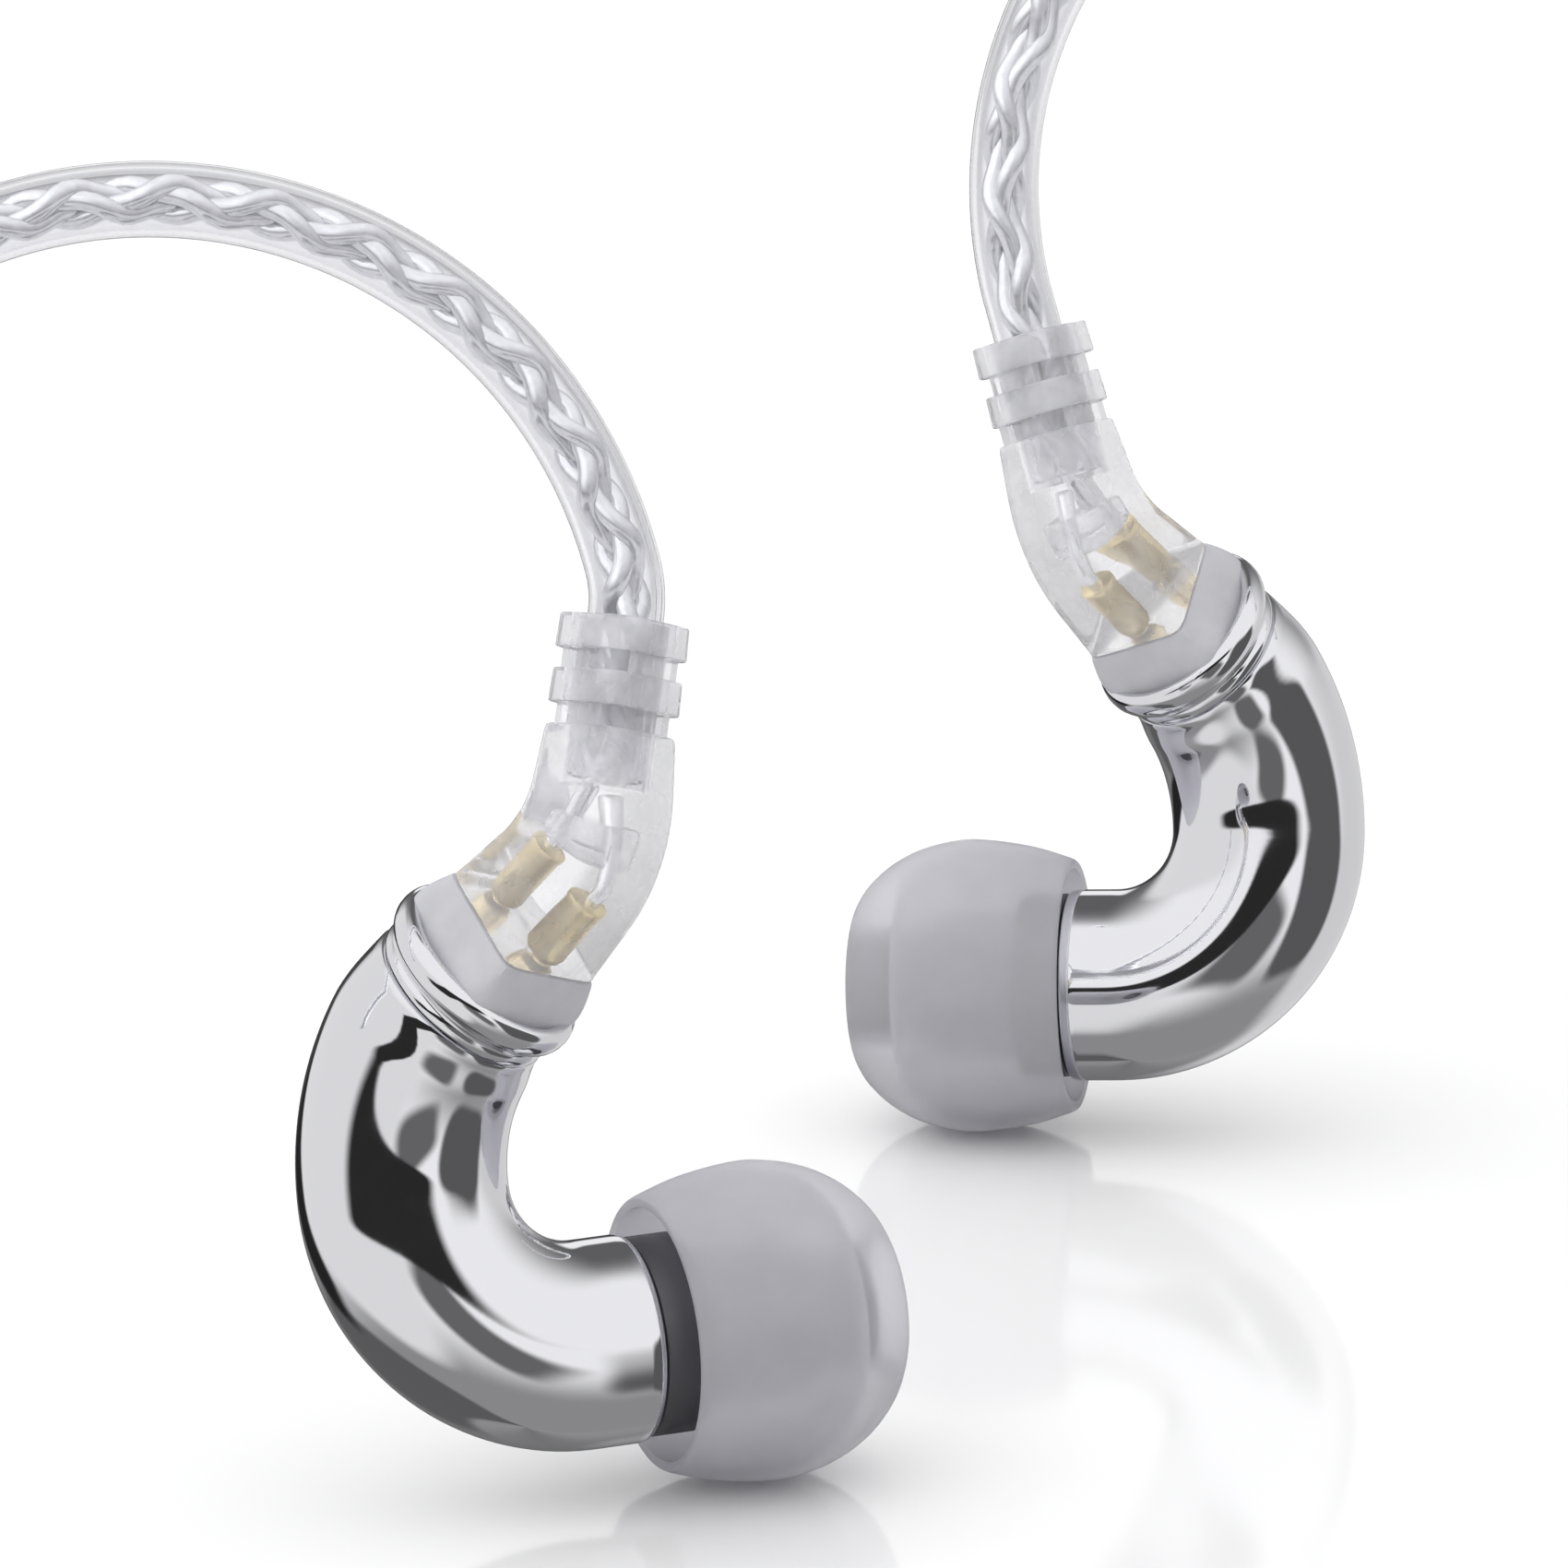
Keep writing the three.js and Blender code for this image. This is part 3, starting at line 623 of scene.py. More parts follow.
def hood(side, place, looks):
    """The grey block in the lip: round at its foot, square at its top, with the two sockets."""
    foot, rise = 1.5, 2.14
    wide, drawn_in = 3.24, 0.66
    round_foot, squarer = 2.2, 11.8
    outline = [[0.9, 3.2, 2.0], [foot, wide, round_foot]]
    steps = 14
    for i in range(1, steps + 1):
        t = i / steps
        outline.append(
            [foot + rise * t, wide - drawn_in * t ** 1.2, round_foot + squarer * t ** 0.9]
        )
    outline += [[3.74, 2.54, 14.0], [3.79, 2.46, 12.0], [3.8, 2.3, 9.0]]
    block = piece(
        f"{side}_socket_block", "earphones", looks["grey_resin"],
        [turned(SOCKET_RAIL, outline, 96)], place, [f"{side}_socket_hood"], sharp=30,
    )
    holes = []
    for sign in (1, -1):
        bore = [[0.5, SOCKET_BORE_R], [4.5, SOCKET_BORE_R]]
        drill = turned(SOCKET_RAIL, bore, 32, centre=(0, sign * PIN_OFFSET))
        holes.append(piece(f"{side}_drill", None, looks["gold"], [drill], place))
    cut(block, holes)
    for letter, sign in (("a", 1), ("b", -1)):
        sleeve = rounded([[0.7, 0.52], [3.7, 0.52], [3.7, 0.8], [0.7, 0.8]], 0.06)
        skin = turned(SOCKET_RAIL, sleeve, 32, closed=True, centre=(0, sign * PIN_OFFSET))
        piece(
            f"{side}_female_contact_{letter}", "earphones", looks["gold"], [skin],
            place, [f"{side}_socket_contact_{letter}"],
        )


def nozzle(side, place, looks):
    """The sound tube, with the ring that seats in the shell, and its woven mesh. Its metal is darkened to stand
    for the shade in the groove between tube and tip.
    """
    seat = [[-2.2, 3.2], [-2.2, 1.45], [-0.2, 1.45], [-0.2, 2.2], [0.4, 2.2], [0.4, 3.3]]
    seat += [[1.6, 3.3], [1.6, 3.88], [-0.36, 3.88], [-0.36, 3.2]]
    stem = [[-0.15, 1.45], [8.6, 1.45], [8.6, 1.95], [8.7, 2.15], [8.3, 2.15], [8.1, 2.0]]
    stem += [[0.6, 2.0], [-0.15, 2.0]]
    skins = [
        turned(NOZZLE_RAIL, rounded(seat, 0.12), 64, closed=True),
        turned(NOZZLE_RAIL, rounded(stem, 0.08), 48, closed=True),
    ]
    piece(
        f"{side}_sound_tube", "earphones", looks["shade_darkened_chrome"], skins,
        place, [f"{side}_nozzle"],
    )
    # Two layers of wires that pass over and under each other.
    pitch, radius = 0.2, 1.18
    depth, sway, wire_radius = 8.35, 0.035, 0.034
    wires = []
    for layer in (0, 1):
        for row in range(-5, 6):
            reach = (radius ** 2 - (row * pitch) ** 2) ** 0.5
            points = []
            steps = max(6, round(reach * 40))
            for i in range(steps + 1):
                along = -reach + 2 * reach * i / steps
                wave = sway * math.cos(math.pi * (along / pitch + row + layer))
                y, z = (along, row * pitch) if layer else (row * pitch, along)
                points.append(Vector((depth + wave, y, z)))
            wires.append(tube(points, X, wire_radius, 6))
    rim = rounded([[8.22, 1.08], [8.5, 1.08], [8.5, 1.3], [8.22, 1.3]], 0.05)
    wires.append(turned(NOZZLE_RAIL, rim, 40, closed=True))
    piece(
        f"{side}_mesh_disc", "earphones", looks["steel"], wires,
        place, [f"{side}_nozzle_mesh"],
    )


def eartip(side, place, looks):
    """Skirt and core in one soft piece. The skirt's rim and the mouth are rounded."""
    skirt = [[0.0, 5.2], [0.06, 5.32], [0.5, 5.5], [2, 5.93], [4, 6.2], [5.2, 6.14], [6.6, 5.78]]
    skirt += [[7.8, 5.15], [8.7, 4.35], [9.2, 3.6], [9.4, 3.0], [9.36, 2.6], [9.1, 2.42]]
    inside = [[8.6, 2.35], [6.0, 2.33], [2.0, 2.33], [0.85, 2.36], [0.7, 2.5], [0.68, 2.8]]
    inside += [[0.8, 3.0], [1.4, 3.06], [4.0, 3.06], [6.4, 3.1], [7.2, 3.5], [7.1, 4.3]]
    inside += [[5.9, 5.2], [4, 5.58], [2, 5.38], [0.5, 5.02], [0.06, 4.94]]
    outline = smooth_line([[*knot, 0] for knot in skirt + inside], 4)
    skin = turned(NOZZLE_RAIL, [[p.x, p.y] for p in outline], 80, closed=True)
    piece(
        f"{side}_silicone_tip", f"{side}_tip", looks["silicone"], [skin],
        place, [f"{side}_eartip"],
    )


# ---- plug and hook ----
def plug(side, place, looks):
    """The clear angled body, with a bore for the hook's sleeve."""
    rail = plug_rail(PLUG_FOOT)
    square_foot, rounder = 8.0, 3.8
    outline = [[0.0, 2.4, 9.0], [0.02, 2.5, 9.0], [0.1, PLUG_HALF, square_foot]]
    steps = 30
    for i in range(1, steps):
        t = i / steps
        outline.append(
            [t * rail.length, PLUG_HALF - PLUG_TAPER * t, square_foot - rounder * t ** 0.7]
        )
    top = rail.length
    outline += [[top - 0.14, 2.06, 4.2], [top - 0.04, 2.03, 4.2], [top, 1.92, 4.2]]
    bore = [[top, 1.6, 2.0], [top - 2.2, 1.58, 2.0], [top - 2.3, 0.0, 2.0]]
    piece(
        f"{side}_plug_moulding", f"{side}_plug", looks["milky_resin"],
        [turned(rail, outline + bore, 96)], place, [f"{side}_plug_body"], sharp=30,
    )


def pins(side, place, looks):
    """The two gold pins, each with a thicker base inside the plug."""
    for letter, sign in (("a", 1), ("b", -1)):
        outline = [[1.2, 0.0], [1.22, 0.22], [1.4, 0.37], [3.9, 0.39], [3.95, 0.5], [4.05, 0.66]]
        outline += [[4.3, 0.76], [6.6, 0.76], [6.66, 0.8], [6.86, 0.8], [6.9, 0.74], [6.9, 0.0]]
        skin = turned(SOCKET_RAIL, outline, 32, centre=(0, sign * PIN_OFFSET))
        piece(
            f"{side}_gold_pin_{letter}", f"{side}_plug", looks["gold"], [skin],
            place, [f"{side}_plug_pin_{letter}"],
        )


def insert(side, place, looks):
    """The block that keeps the two wires apart, deep in the plug."""
    rail = plug_rail(PLUG_FOOT)
    outline = [[4.0, 0.0], [4.0, 1.2], [4.15, 1.35], [5.2, 1.3], [5.3, 1.2], [5.3, 0.0]]
    piece(
        f"{side}_wire_block", f"{side}_plug", looks["milky_resin"],
        [turned(rail, outline, 48, exponent=5.0)], place, [f"{side}_plug_insert"],
    )


def strain_relief(side, place, looks):
    """Two square rings on a thin core, held by webs that change sides from gap to gap."""
    foot = BODY_TOP + 0.02
    low, high = (foot + 0.8, foot + 2.1), (foot + 2.9, foot + 4.2)
    core = rounded([[foot, 1.52], [foot, 1.66], [high[1] - 0.1, 1.66], [high[1] - 0.1, 1.52]], 0.04)
    skins = [turned(TOP_RAIL, core, 48, closed=True)]
    for bottom, top in (low, high):
        block = rounded([[bottom, 1.6], [bottom, 2.06], [top, 2.02], [top, 1.6]], 0.1)
        skins.append(turned(TOP_RAIL, block, 80, closed=True, exponent=4.6))
    point, u, v = TOP_RAIL.at(0)
    for span, side_on in (((foot, low[0]), u), ((low[1], high[0]), v)):
        edge_on = u if side_on is v else v
        for sign in (1, -1):
            rings = []
            for distance in (span[0] - 0.05, span[1] + 0.05):
                middle = point + HOOK_AXIS * distance + side_on * (sign * 1.72)
                corners = ((-1, -1), (1, -1), (1, 1), (-1, 1))
                rings.append(
                    [middle + edge_on * (1.15 * a) + side_on * (0.2 * b) for a, b in corners]
                )
            skins.append(loft(rings))
    piece(
        f"{side}_flex_relief", f"{side}_plug", looks["milky_resin"], skins,
        place, [f"{side}_strain_relief"], sharp=30,
    )


def ear_hook(side, place, looks):
    """The clear sleeve: a thin tube with rolled ends."""
    points = hook_points(side, HOOK_START)
    rail = Rail(points, ACROSS)
    marks = rail.marks[1:-1]
    outline = [[0.0, HOOK_R - 0.1], [0.1, HOOK_R]] + [[mark, HOOK_R] for mark in marks]
    outline += [[rail.length - 0.1, HOOK_R], [rail.length, HOOK_R - 0.1]]
    outline += [[rail.length, HOOK_BORE_R]] + [[mark, HOOK_BORE_R] for mark in reversed(marks)]
    outline += [[0.0, HOOK_BORE_R]]
    piece(
        f"{side}_clear_sleeve", f"{side}_plug", looks["clear_sleeve"],
        [turned(rail, outline, 32, closed=True)], place, [f"{side}_ear_hook"],
    )


def hook_cable(side, place, looks):
    """The braid in the sleeve, and the two wires from its lower end to the pins. It returns where
    the braid ends: the point, its sideways direction and its phase."""
    points = [place @ p for p in hook_points(side, HOOK_START - 0.3)]
    across = (place.to_3x3() @ ACROSS).normalized()
    pitch = HOOKS[side]["pitch"]
    even = evened(points, HOOK_STEP)
    strands = braid(even, across, HOOK_BRAID_R, pitch, sides=12)
    foot = CORNER + HOOK_AXIS * (HOOK_START - 0.2)
    for sign in (1, -1):
        pin = SOCKET + PIN_LINE * (sign * PIN_OFFSET)
        start, lead = pin + SOCKET_AXIS * 6.8, pin + SOCKET_AXIS * 7.7
        top = foot + PIN_LINE * (sign * 0.5)
        knots = [start, lead, (lead + top) / 2 + SOCKET_AXIS * 0.2, top]
        wire = [place @ p for p in smooth_line(knots, 6)]
        strands.append(tube(wire, across, LEAD_R, 14))
    piece(
        f"{side}_hook_braid", f"{side}_plug", looks["strand"], strands,
        None, [f"{side}_hook_cable"],
    )
    end_rail = Rail(even, across)
    return even[-1], end_rail.acrosses[-1], math.tau * end_rail.length / pitch


# ---- the free cable ----
LEFT_ROUTE = [
    [-44.2, -31.9, 25.2], [-44.1, -34.9, 16.2], [-43.8, -38.2, 8.0], [-42.4, -41.6, 2.7],
    [-39.6, -44.6, FLAT], [-37.4, -49.6, FLAT], [-36.6, -56.8, FLAT], [-35.4, -65.0, FLAT],
    [-30.8, -71.0, FLAT], [-25.6, -66.0, FLAT], [-24.0, -57.0, FLAT], [-22.8, -48.6, FLAT],
    [-18.0, -43.6, FLAT], [-13.2, -48.0, FLAT], [-12.2, -57.0, FLAT], [-10.8, -66.0, FLAT],
    [-5.8, -71.2, FLAT], [-0.8, -66.2, FLAT], [0.8, -57.0, FLAT], [2.4, -49.0, FLAT],
    [6.6, -43.4, FLAT], [11.2, -44.6, 1.4], [PAIR_X - PAIR_PITCH / 2, -49.6, PAIR_Z],
    [PAIR_X - PAIR_PITCH / 2, -54, PAIR_Z], [PAIR_X - PAIR_PITCH / 2, SPLIT_Y, PAIR_Z],
]
RIGHT_ROUTE = [
    [44.3, 25.4, 34.1], [45.4, 22.4, 24.6], [46.1, 18.6, 14.4], [46.3, 13.2, 5.8],
    [45.8, 5.8, 1.6], [45.0, -2.4, FLAT], [44.2, -11.0, FLAT], [43.9, -20.0, FLAT],
    [43.9, -29.0, FLAT], [43.6, -38.0, FLAT], [42.6, -46.0, FLAT], [41.2, -54.0, FLAT],
    [39.0, -62.0, FLAT], [35.0, -69.2, FLAT], [29.6, -70.6, FLAT], [26.4, -64.0, FLAT],
    [25.4, -55.0, FLAT], [23.8, -47.0, FLAT], [19.8, -43.0, FLAT], [16.4, -45.4, 1.5],
    [PAIR_X + PAIR_PITCH / 2, -50.0, PAIR_Z], [PAIR_X + PAIR_PITCH / 2, -54, PAIR_Z],
    [PAIR_X + PAIR_PITCH / 2, SPLIT_Y, PAIR_Z],
]
MAIN_ROUTE = [
    [PAIR_X, -92.6, 2.0], [13.6, -96.2, 1.6], [11.6, -99.8, 1.4],
    [7.8, -102.2, 1.4], [3.0, -103.0, 1.4],
]
LEAD_ROUTE = [
    [-35.6, -101.0, 3.9], [-39.4, -99.4, 3.95], [-42.3, -96.0, 4.0], [-43.2, -91.3, 4.0],
]


def evened(points, step):
    """The same line with points a constant step apart."""
    rail = Rail(points, Z)
    count = max(2, round(rail.length / step))
    return [rail.at(rail.length * i / count)[0] for i in range(count + 1)]


def half_turn(side, radius, height):
    """A round end of the coil: front to back on the left (-1), back to front on the right (1)."""
    points = []
    for i in range(1, BEND_STEPS):
        angle = math.pi * i / BEND_STEPS
        x = COIL_STRAIGHT / 2 + radius * math.sin(angle)
        points.append(Vector((side * x, side * radius * math.cos(angle), height)))
    return points


def coil_turns():
    """The stored cable: an oval wound three wide and three high, clockwise from above. Each turn
    slides over to the next one's place on the back straight."""
    outer, inner = COIL_R + 2 * MAIN_R, COIL_R - 2 * MAIN_R
    low, middle, high = (MAIN_R * (2 * level + 1) for level in range(3))
    seats = [(outer, low), (COIL_R, low), (inner, low), (inner, middle), (COIL_R, middle)]
    seats += [(inner, high), (COIL_R, high), (outer, high), (outer, middle)]
    half = COIL_STRAIGHT / 2
    points = []
    for turn, seat in enumerate(seats):
        after = seats[min(turn + 1, len(seats) - 1)]
        for i in range(STRAIGHT_STEPS + 1):
            run = COIL_STRAIGHT * i / STRAIGHT_STEPS
            points.append(Vector((half - run, -seat[0], seat[1])))
        if turn == len(seats) - 1:
            break
        points += half_turn(-1, *seat)
        for i in range(STRAIGHT_STEPS + 1):
            t = i / STRAIGHT_STEPS
            slid = t * t * (3 - 2 * t)
            radius, height = (a + (b - a) * slid for a, b in zip(seat, after))
            points.append(Vector((-half + COIL_STRAIGHT * t, radius, height)))
        points += half_turn(1, *after)
    return [COIL_CENTRE + point for point in points[STRAIGHT_STEPS // 2:]]


def cords(ends, looks):
    """Both branches and the main cable, each a braid that follows the part's route."""
    found = {}
    for side, route in (("left", LEFT_ROUTE), ("right", RIGHT_ROUTE)):
        tip, across, phase = ends[side]
        line = smooth_line([tip, *route[1:]], 8)
        points = evened(line, BRANCH_STEP)
        pitch = HOOKS[side]["pitch"]
        cable = piece(
            f"{side}_branch_braid", None, looks["strand"],
            braid(points, across, BRANCH_R, pitch, phase, sides=8),
        )
        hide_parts(f"{side}_cable")
        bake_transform(cable)
        found[side] = (cable, evened(line, BRANCH_PATH_STEP))
    line = smooth_line(MAIN_ROUTE, 8)[:-1] + coil_turns()
    line += smooth_line(LEAD_ROUTE, 8)
    points = evened(line, MAIN_STEP)
    main = piece(
        "main_braid", "earphones", looks["strand"],
        braid(points, Z, MAIN_R, MAIN_PITCH, sides=7),
        None, ["main_cable", "jack_lead", "cable_coil"],
    )
    found["main"] = (main, evened(line, MAIN_PATH_STEP))
    return found


def box_mm(node):
    low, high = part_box(node)
    return low / MM, high / MM


def flat_block(node):
    """For a block as long as its CAD node: a rail along its middle, a stretch that makes a block
    turned on that rail as flat as the node, and the node's half width and length."""
    low, high = box_mm(node)
    middle = (low + high) / 2
    rail = straight(Vector((middle.x, low.y, middle.z)), Y, X)
    size = high - low
    stretch = Matrix.Translation(middle) @ Matrix.Diagonal((1, 1, size.z / size.x, 1))
    return rail, stretch @ Matrix.Translation(-middle), size.x / 2, size.y


def splitter(looks):
    """Where the branches join: a steel barrel with rounded ends and four turned grooves."""
    rail, stretch, half, length = flat_block("y_splitter")
    outline = [[0, 2.4], [0, half - 1.3], [0.35, half - 0.5], [1.0, half - 0.06], [1.6, half]]
    for groove in (3.0, 3.9, length - 3.9, length - 3.0):
        outline += [[groove - 0.18, half], [groove - 0.1, half - 0.22], [groove + 0.1, half - 0.22]]
        outline += [[groove + 0.18, half]]
    outline += [[length - 1.6, half], [length - 1.0, half - 0.06], [length - 0.35, half - 0.5]]
    outline += [[length, half - 1.3], [length, 2.4]]
    return piece(
        "split_barrel", "earphones", looks["steel"],
        [turned(rail, rounded(outline, 0.05, closed=False, steps=2), 80, exponent=4.5)],
        stretch, ["y_splitter"], sharp=30,
    )


def slider(looks):
    """The clear block that slides on both branches."""
    rail, stretch, half, length = flat_block("chin_slider")
    outline = [[0, half - 0.5], [0.12, half - 0.2], [0.5, half], [length - 0.5, half]]
    outline += [[length - 0.12, half - 0.2], [length, half - 0.5]]
    block = piece(
        "slide_block", "slider", looks["milky_resin"],
        [turned(rail, outline, 72, exponent=4.0)], stretch, ["chin_slider"], sharp=30,
    )
    drills = []
    for x in (-PAIR_PITCH / 2, PAIR_PITCH / 2):
        start = Vector((PAIR_X + x, rail.points[0].y - 1, PAIR_Z))
        bore = BRANCH_R + 0.2
        hole = turned(straight(start, Y, X), [[0, bore], [length + 2, bore]], 32)
        drills.append(piece("slide_drill", None, looks["steel"], [hole]))
    cut(block, drills)


def tie(looks):
    """A woven strap that arches over one side of the coil."""
    low, high = box_mm("cable_tie")
    thick, corner = 0.8, 1.6
    middle = (low + high) / 2
    reach, top = (high.y - low.y - thick) / 2, high.z - thick / 2
    foot = Vector((middle.x, middle.y - reach, 0.0))
    up = foot + Z * (top - corner)
    over, _ = arc(up, Z, Y, corner, math.pi / 2, 8)
    far = Vector((middle.x, middle.y + reach - corner, top))
    down, _ = arc(far, Y, -Z, corner, math.pi / 2, 8)
    path = [foot, up, *over, far, *down, Vector((middle.x, middle.y + reach, 0.0))]
    wide = (high.x - low.x) / thick
    rail = Rail(path, X)
    rings = []
    for mark in rail.marks:
        point, across, _ = rail.at(mark)
        section = ring(rail, mark, thick / 2, 32, 6.0)
        rings.append([c + across * ((c - point).dot(across) * (wide - 1)) for c in section])
    piece(
        "strap", "earphones", looks["strap"], [loft(rings)],
        None, ["cable_tie"], sharp=40,
    )


def washer(start, end, radius):
    """The section of one ring of the jack, over its core."""
    core = 0.9
    return [[start, core], [end, core], [end, radius], [start, radius]]


def jack(looks):
    """The 3.5 mm plug: ringed boot, chrome housing and gold contacts between dark insulators."""
    low, high = box_mm("jack_boot")
    middle = (low + high) / 2
    rail = straight(Vector((middle.x, low.y, middle.z)), Y, X)
    boot = [[0, 1.42], [0, 1.95]]
    for k in range(5):
        start = 0.9 + 1.3 * k
        swell = 1.95 + 0.13 * k
        boot += [[start, swell], [start + 0.12, swell - 0.28], [start + 0.5, swell - 0.28]]
        boot += [[start + 0.62, swell + 0.05]]
    boot += [[7.5, 2.6], [7.5, 3.1], [9.2, 3.1], [9.2, 0.5]]
    housing = [[9.22, 0.5], [9.22, 3.4], [9.7, 3.9], [10.2, 4.0], [12.0, 4.0], [12.1, 3.86]]
    housing += [[12.5, 3.86], [12.6, 4.0], [24.4, 4.0], [24.5, 3.86], [24.9, 3.86], [25.0, 4.0]]
    housing += [[26.1, 4.0], [26.5, 3.7], [26.6, 3.5], [26.6, 2.1], [25.0, 2.1], [25.0, 0.5]]
    tip = [[36.0, 0.2], [37.7, 0.7], [37.8, 1.6], [38.1, 1.62], [38.6, 1.2], [38.8, 1.22]]
    tip += [[39.2, 1.7], [39.5, 1.62], [40.6, 0.6], [40.9, 0.3], [41.0, 0.0]]
    sleeve = washer(26.62, 34.6, 1.75)
    ring_contact = washer(35.5, 37.2, 1.75)
    gap_a = washer(34.62, 35.48, 1.71)
    gap_b = washer(37.22, 37.78, 1.66)
    parts = [
        ("jack_boot", "ringed_boot", "grey_resin", "grey_resin", boot, 0.12, False),
        ("jack_housing", "jack_grip", "chrome", "chrome", housing, 0.12, False),
        ("jack_sleeve", "contact_sleeve", "gold", "gold", sleeve, 0.06, True),
        ("jack_insulator_a", "insulator_a", "dark_plastic", "strap_plastic", gap_a, 0.05, True),
        ("jack_ring", "contact_ring", "gold", "gold", ring_contact, 0.06, True),
        ("jack_insulator_b", "insulator_b", "dark_plastic", "strap_plastic", gap_b, 0.05, True),
        ("jack_tip", "contact_tip", "gold", "gold", tip, 0.1, False),
    ]
    made = []
    for node, name, slot, look, outline, reach, closed in parts:
        skin = turned(rail, rounded(outline, reach, closed, 3), 64, closed)
        made.append(
            piece(name, "earphones", looks[look], [skin], None, [node], sharp=30)
        )
    return made


# ---- what stays as the CAD made it ----
def finish_hidden_nodes(looks):
    """The pieces inside the shells keep their CAD shape and get a finish."""
    finishes = {
        "damper": "film", "driver_frame": "steel", "driver_magnet": "magnet",
        "driver_diaphragm": "film", "driver_lead_a": "enamel", "driver_lead_b": "enamel",
    }
    for side in SIDES:
        for part, look in finishes.items():
            node = frame["nodes"][f"{side}_{part}"]
            node.data.materials.clear()
            node.data.materials.append(looks[look])


# ---- the studio ----
class Sky:
    """Brightness by direction: bearing in degrees from the camera's side (positive to the right) and
    height in degrees over the horizon. Soft-edged cards are laid on it one after another."""

    def __init__(self, nodes, links):
        self.nodes, self.links = nodes, links
        direction = nodes.new("ShaderNodeTexCoord").outputs["Generated"]
        split = nodes.new("ShaderNodeSeparateXYZ")
        links.new(direction, split.inputs["Vector"])
        towards = self.math("MULTIPLY", split.outputs["Y"], -1.0)
        around = self.math("ARCTAN2", split.outputs["X"], towards)
        self.bearing = self.math("MULTIPLY", around, math.degrees(1))
        self.height = self.math("MULTIPLY", self.math("ARCSINE", split.outputs["Z"]), math.degrees(1))
        self.level = None

    def math(self, operation, *values):
        node = self.nodes.new("ShaderNodeMath")
        node.operation = operation
        for socket, value in zip(node.inputs, values):
            if isinstance(value, (int, float)):
                socket.default_value = value
            else:
                self.links.new(value, socket)
        return node.outputs[0]

    def spread(self, source, start, end, low, high):
        node = self.nodes.new("ShaderNodeMapRange")
        node.interpolation_type = "SMOOTHSTEP"
        self.links.new(source, node.inputs["Value"])
        names = ("From Min", "From Max", "To Min", "To Max")
        for name, value in zip(names, (start, end, low, high)):
            node.inputs[name].default_value = value
        return node.outputs["Result"]

    def backdrop(self):
        """White in front and on both sides, grey behind."""
        off = self.math("ABSOLUTE", self.bearing)
        self.level = self.spread(off, 85.0, 172.0, 1.0, 0.13)

    def card(self, bearing, height, wide, tall, tilt, soft, level):
        """A card with its middle there. Wide and tall are half sizes and soft is its edge's share."""
        c, s = math.cos(math.radians(tilt)), math.sin(math.radians(tilt))
        x = self.math("SUBTRACT", self.bearing, bearing)
        y = self.math("SUBTRACT", self.height, height)
        along = self.math("ADD", self.math("MULTIPLY", x, c), self.math("MULTIPLY", y, s))
        over = self.math("SUBTRACT", self.math("MULTIPLY", y, c), self.math("MULTIPLY", x, s))
        along = self.math("ABSOLUTE", self.math("DIVIDE", along, wide))
        over = self.math("ABSOLUTE", self.math("DIVIDE", over, tall))
        out = self.math("ADD", self.math("POWER", along, 4.0), self.math("POWER", over, 4.0))
        reach = self.math("POWER", out, 0.25)
        cover = self.spread(reach, 1 - soft, 1 + soft, 1.0, 0.0)
        change = self.math("MULTIPLY", cover, self.math("SUBTRACT", level, self.level))
        self.level = self.math("ADD", self.level, change)


# Bearing, height, half width, half height, tilt, softness, brightness.
CARDS = (
    (0.0, -90.0, 175.0, 62.0, 0.0, 0.35, 0.30),  # the floor, a mid grey
    (130.0, -24.0, 40.0, 30.0, 0.0, 0.25, 0.72),  # light from the lower right
    (-80.0, -4.0, 74.0, 30.0, -16.0, 0.12, 0.84),  # wide light on the left
    (-100.0, -62.0, 66.0, 20.0, -20.0, 0.12, 0.12),  # dark floor on the left
    (-140.0, -20.0, 36.0, 7.5, -28.0, 0.25, 0.02),  # black flag along its edge
    (-168.0, -5.0, 14.0, 9.0, 0.0, 0.3, 0.06),  # and the flag's end, behind
    (68.0, -14.0, 26.0, 27.0, 0.0, 0.12, 0.11),  # dark card on the right
    (14.0, -10.0, 21.0, 13.0, -35.0, 0.25, 0.15),  # grey card in front
    (-12.0, 5.5, 48.0, 7.0, 7.0, 0.12, 0.025),  # black flag over it
    (180.0, 15.0, 9.0, 9.0, 0.0, 0.3, 1.0),  # white where the floor's own reflections go
    (-180.0, 15.0, 9.0, 9.0, 0.0, 0.3, 1.0),  # its other half, across the seam of bearings
)
OVERHEAD = (0.7, 1.5)  # the soft light at the horizon and overhead
KEY = (-75.0, 40.0, 55.0, 28.0, 0.0, 0.5, 1.9)  # its brightest part, from the upper left
FLOOR_HALF = 3000.0
VIEW_TRANSFORM = "Standard"

# The free cable and the pieces on it, which are kept out of the shells' reflections.
STORED = (
    "left_branch_braid", "right_branch_braid", "main_braid", "split_barrel", "slide_block",
    "strap", "ringed_boot", "jack_grip", "contact_sleeve", "contact_ring", "contact_tip",
    "insulator_a", "insulator_b",
)


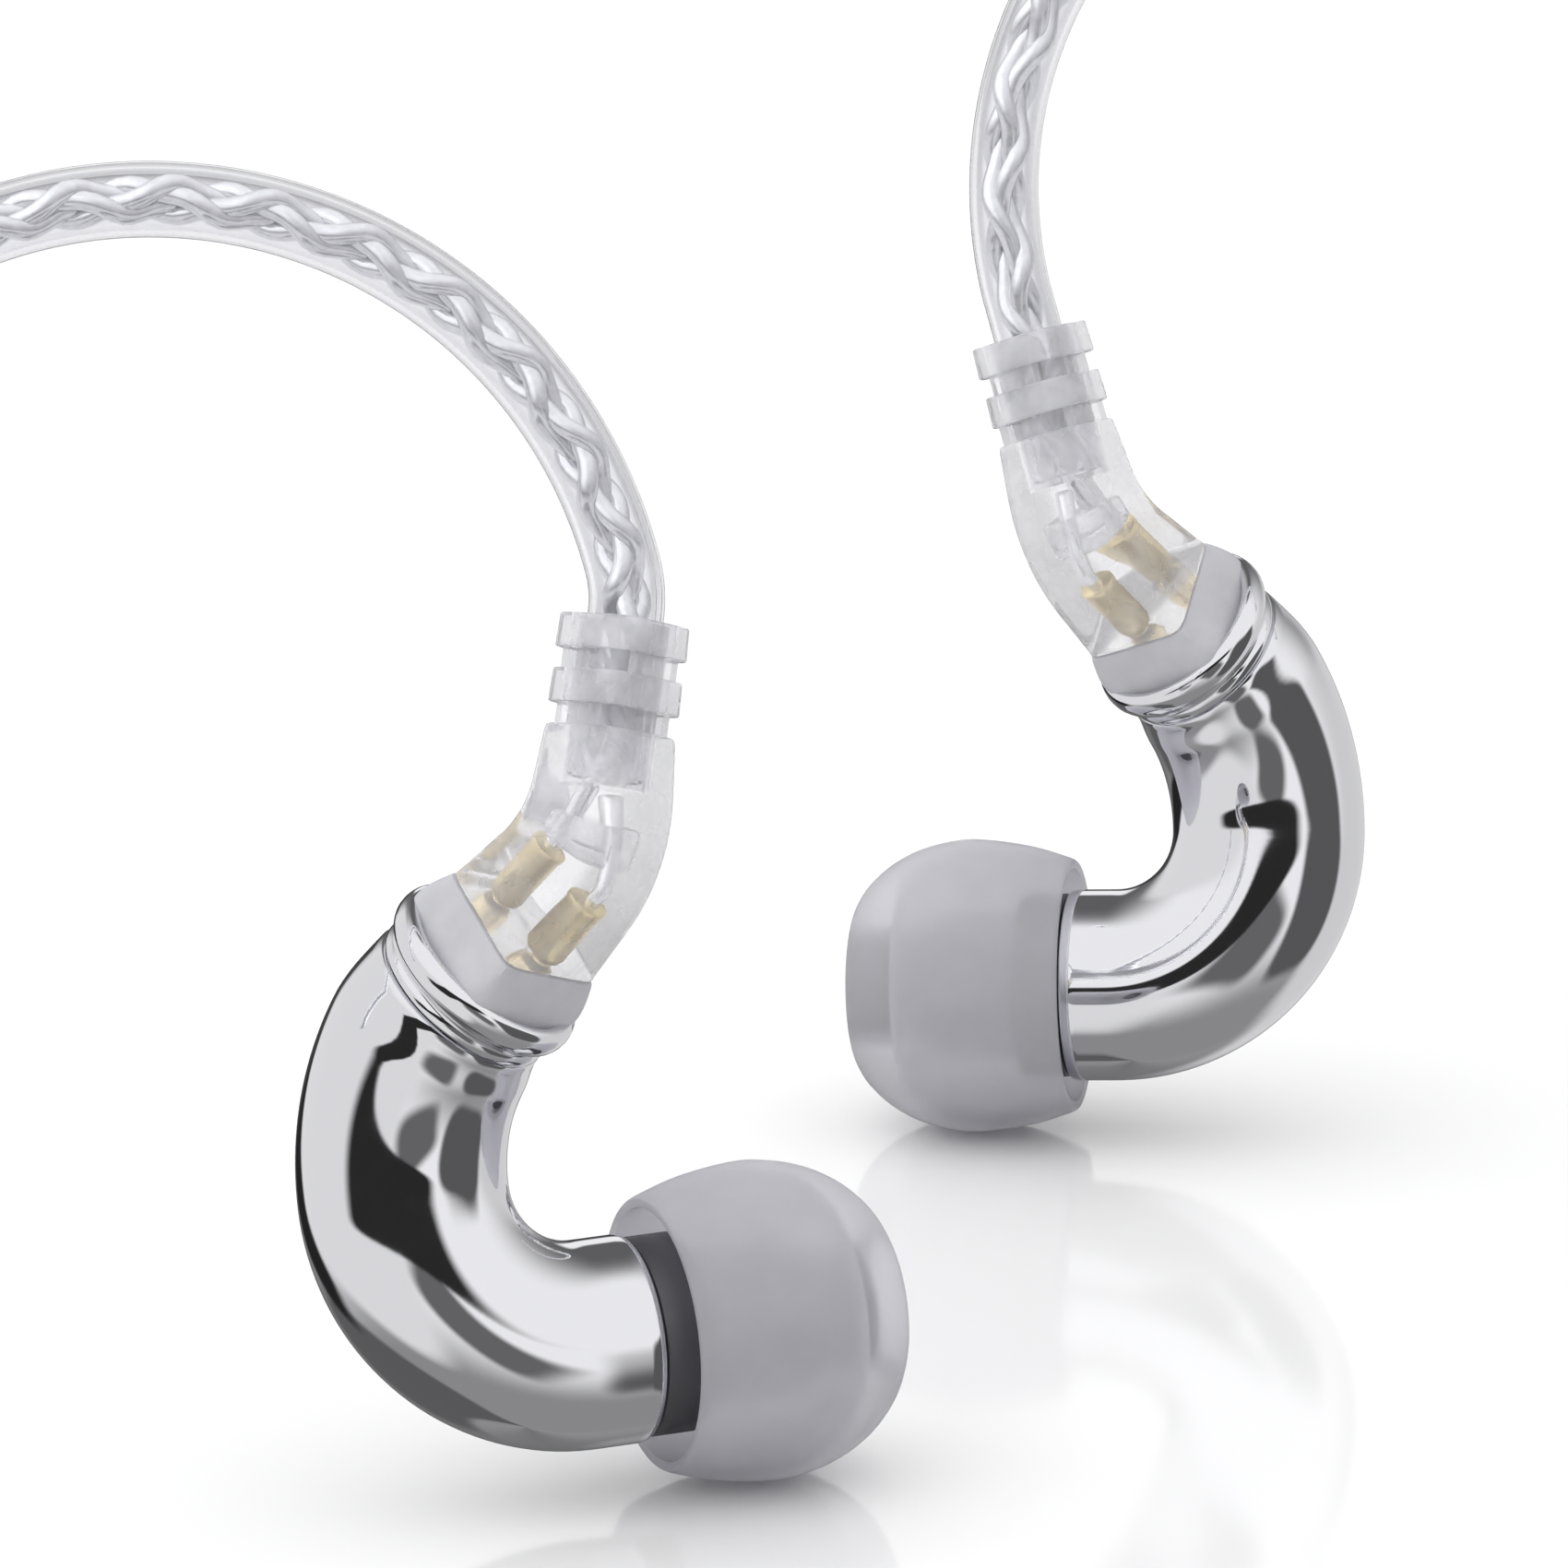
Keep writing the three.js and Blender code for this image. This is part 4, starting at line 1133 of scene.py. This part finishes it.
def studio(looks):
    """A pale floor under an even white light. Polished metal mirrors a few cards instead of it."""
    corners = [Vector((x, y, 0)) for x, y in ((-1, -1), (1, -1), (1, 1), (-1, 1))]
    mesh = bpy.data.meshes.new("floor")
    mesh.from_pydata([c * FLOOR_HALF * MM for c in corners], [], [(0, 1, 2, 3)])
    mesh.materials.append(looks["floor"])
    floor = bpy.data.objects.new("floor", mesh)
    floor.visible_glossy = False
    for name in STORED:
        bpy.data.objects[name].visible_glossy = False
    bpy.context.scene.collection.objects.link(floor)
    world = bpy.data.worlds.new("studio")
    bpy.context.scene.world = world
    world.use_nodes = True
    nodes, links = world.node_tree.nodes, world.node_tree.links
    white = nodes["Background"]
    white.inputs["Strength"].default_value = 1.0
    sky = Sky(nodes, links)
    sky.backdrop()
    for card in CARDS:
        sky.card(*card)
    mirrored = sky.level
    sky.level = sky.spread(sky.height, 0.0, 75.0, *OVERHEAD)
    sky.card(*KEY)
    ray = nodes.new("ShaderNodeLightPath")
    share = sky.math("MULTIPLY", ray.outputs["Is Glossy Ray"], ray.outputs["Is Reflection Ray"])
    change = sky.math("MULTIPLY", share, sky.math("SUBTRACT", mirrored, sky.level))
    links.new(sky.math("ADD", change, sky.level), white.inputs["Color"])
    bpy.context.scene.view_settings.view_transform = VIEW_TRANSFORM


def main():
    camera()
    looks = {
        "chrome": chrome(), "shade_darkened_chrome": shade_darkened_chrome(), "steel": steel(), "gold": gold(),
        "silicone": silicone(), "grey_resin": grey_resin(), "milky_resin": milky_resin(),
        "clear_sleeve": clear_sleeve(), "strand": strand_jacket(), "film": film(),
        "magnet": magnet(), "enamel": enamel(), "strap": dark_strap(),
        "strap_plastic": dark_strap(), "floor": white_floor(),
    }
    frames = {side: places(side) for side in SIDES}
    ends = {side: hook_cable(side, frames[side][1], looks) for side in SIDES}
    found = cords(ends, looks)
    for side in SIDES:
        tip_place, place = frames[side]
        shell(side, place, looks)
        collar(side, place, looks)
        hood(side, place, looks)
        nozzle(side, place, looks)
        eartip(side, tip_place, looks)
        plug(side, place, looks)
        pins(side, place, looks)
        insert(side, place, looks)
        strain_relief(side, place, looks)
        ear_hook(side, place, looks)
    fittings = [splitter(looks)]
    slider(looks)
    tie(looks)
    jack(looks)
    finish_hidden_nodes(looks)
    studio(looks)


main()
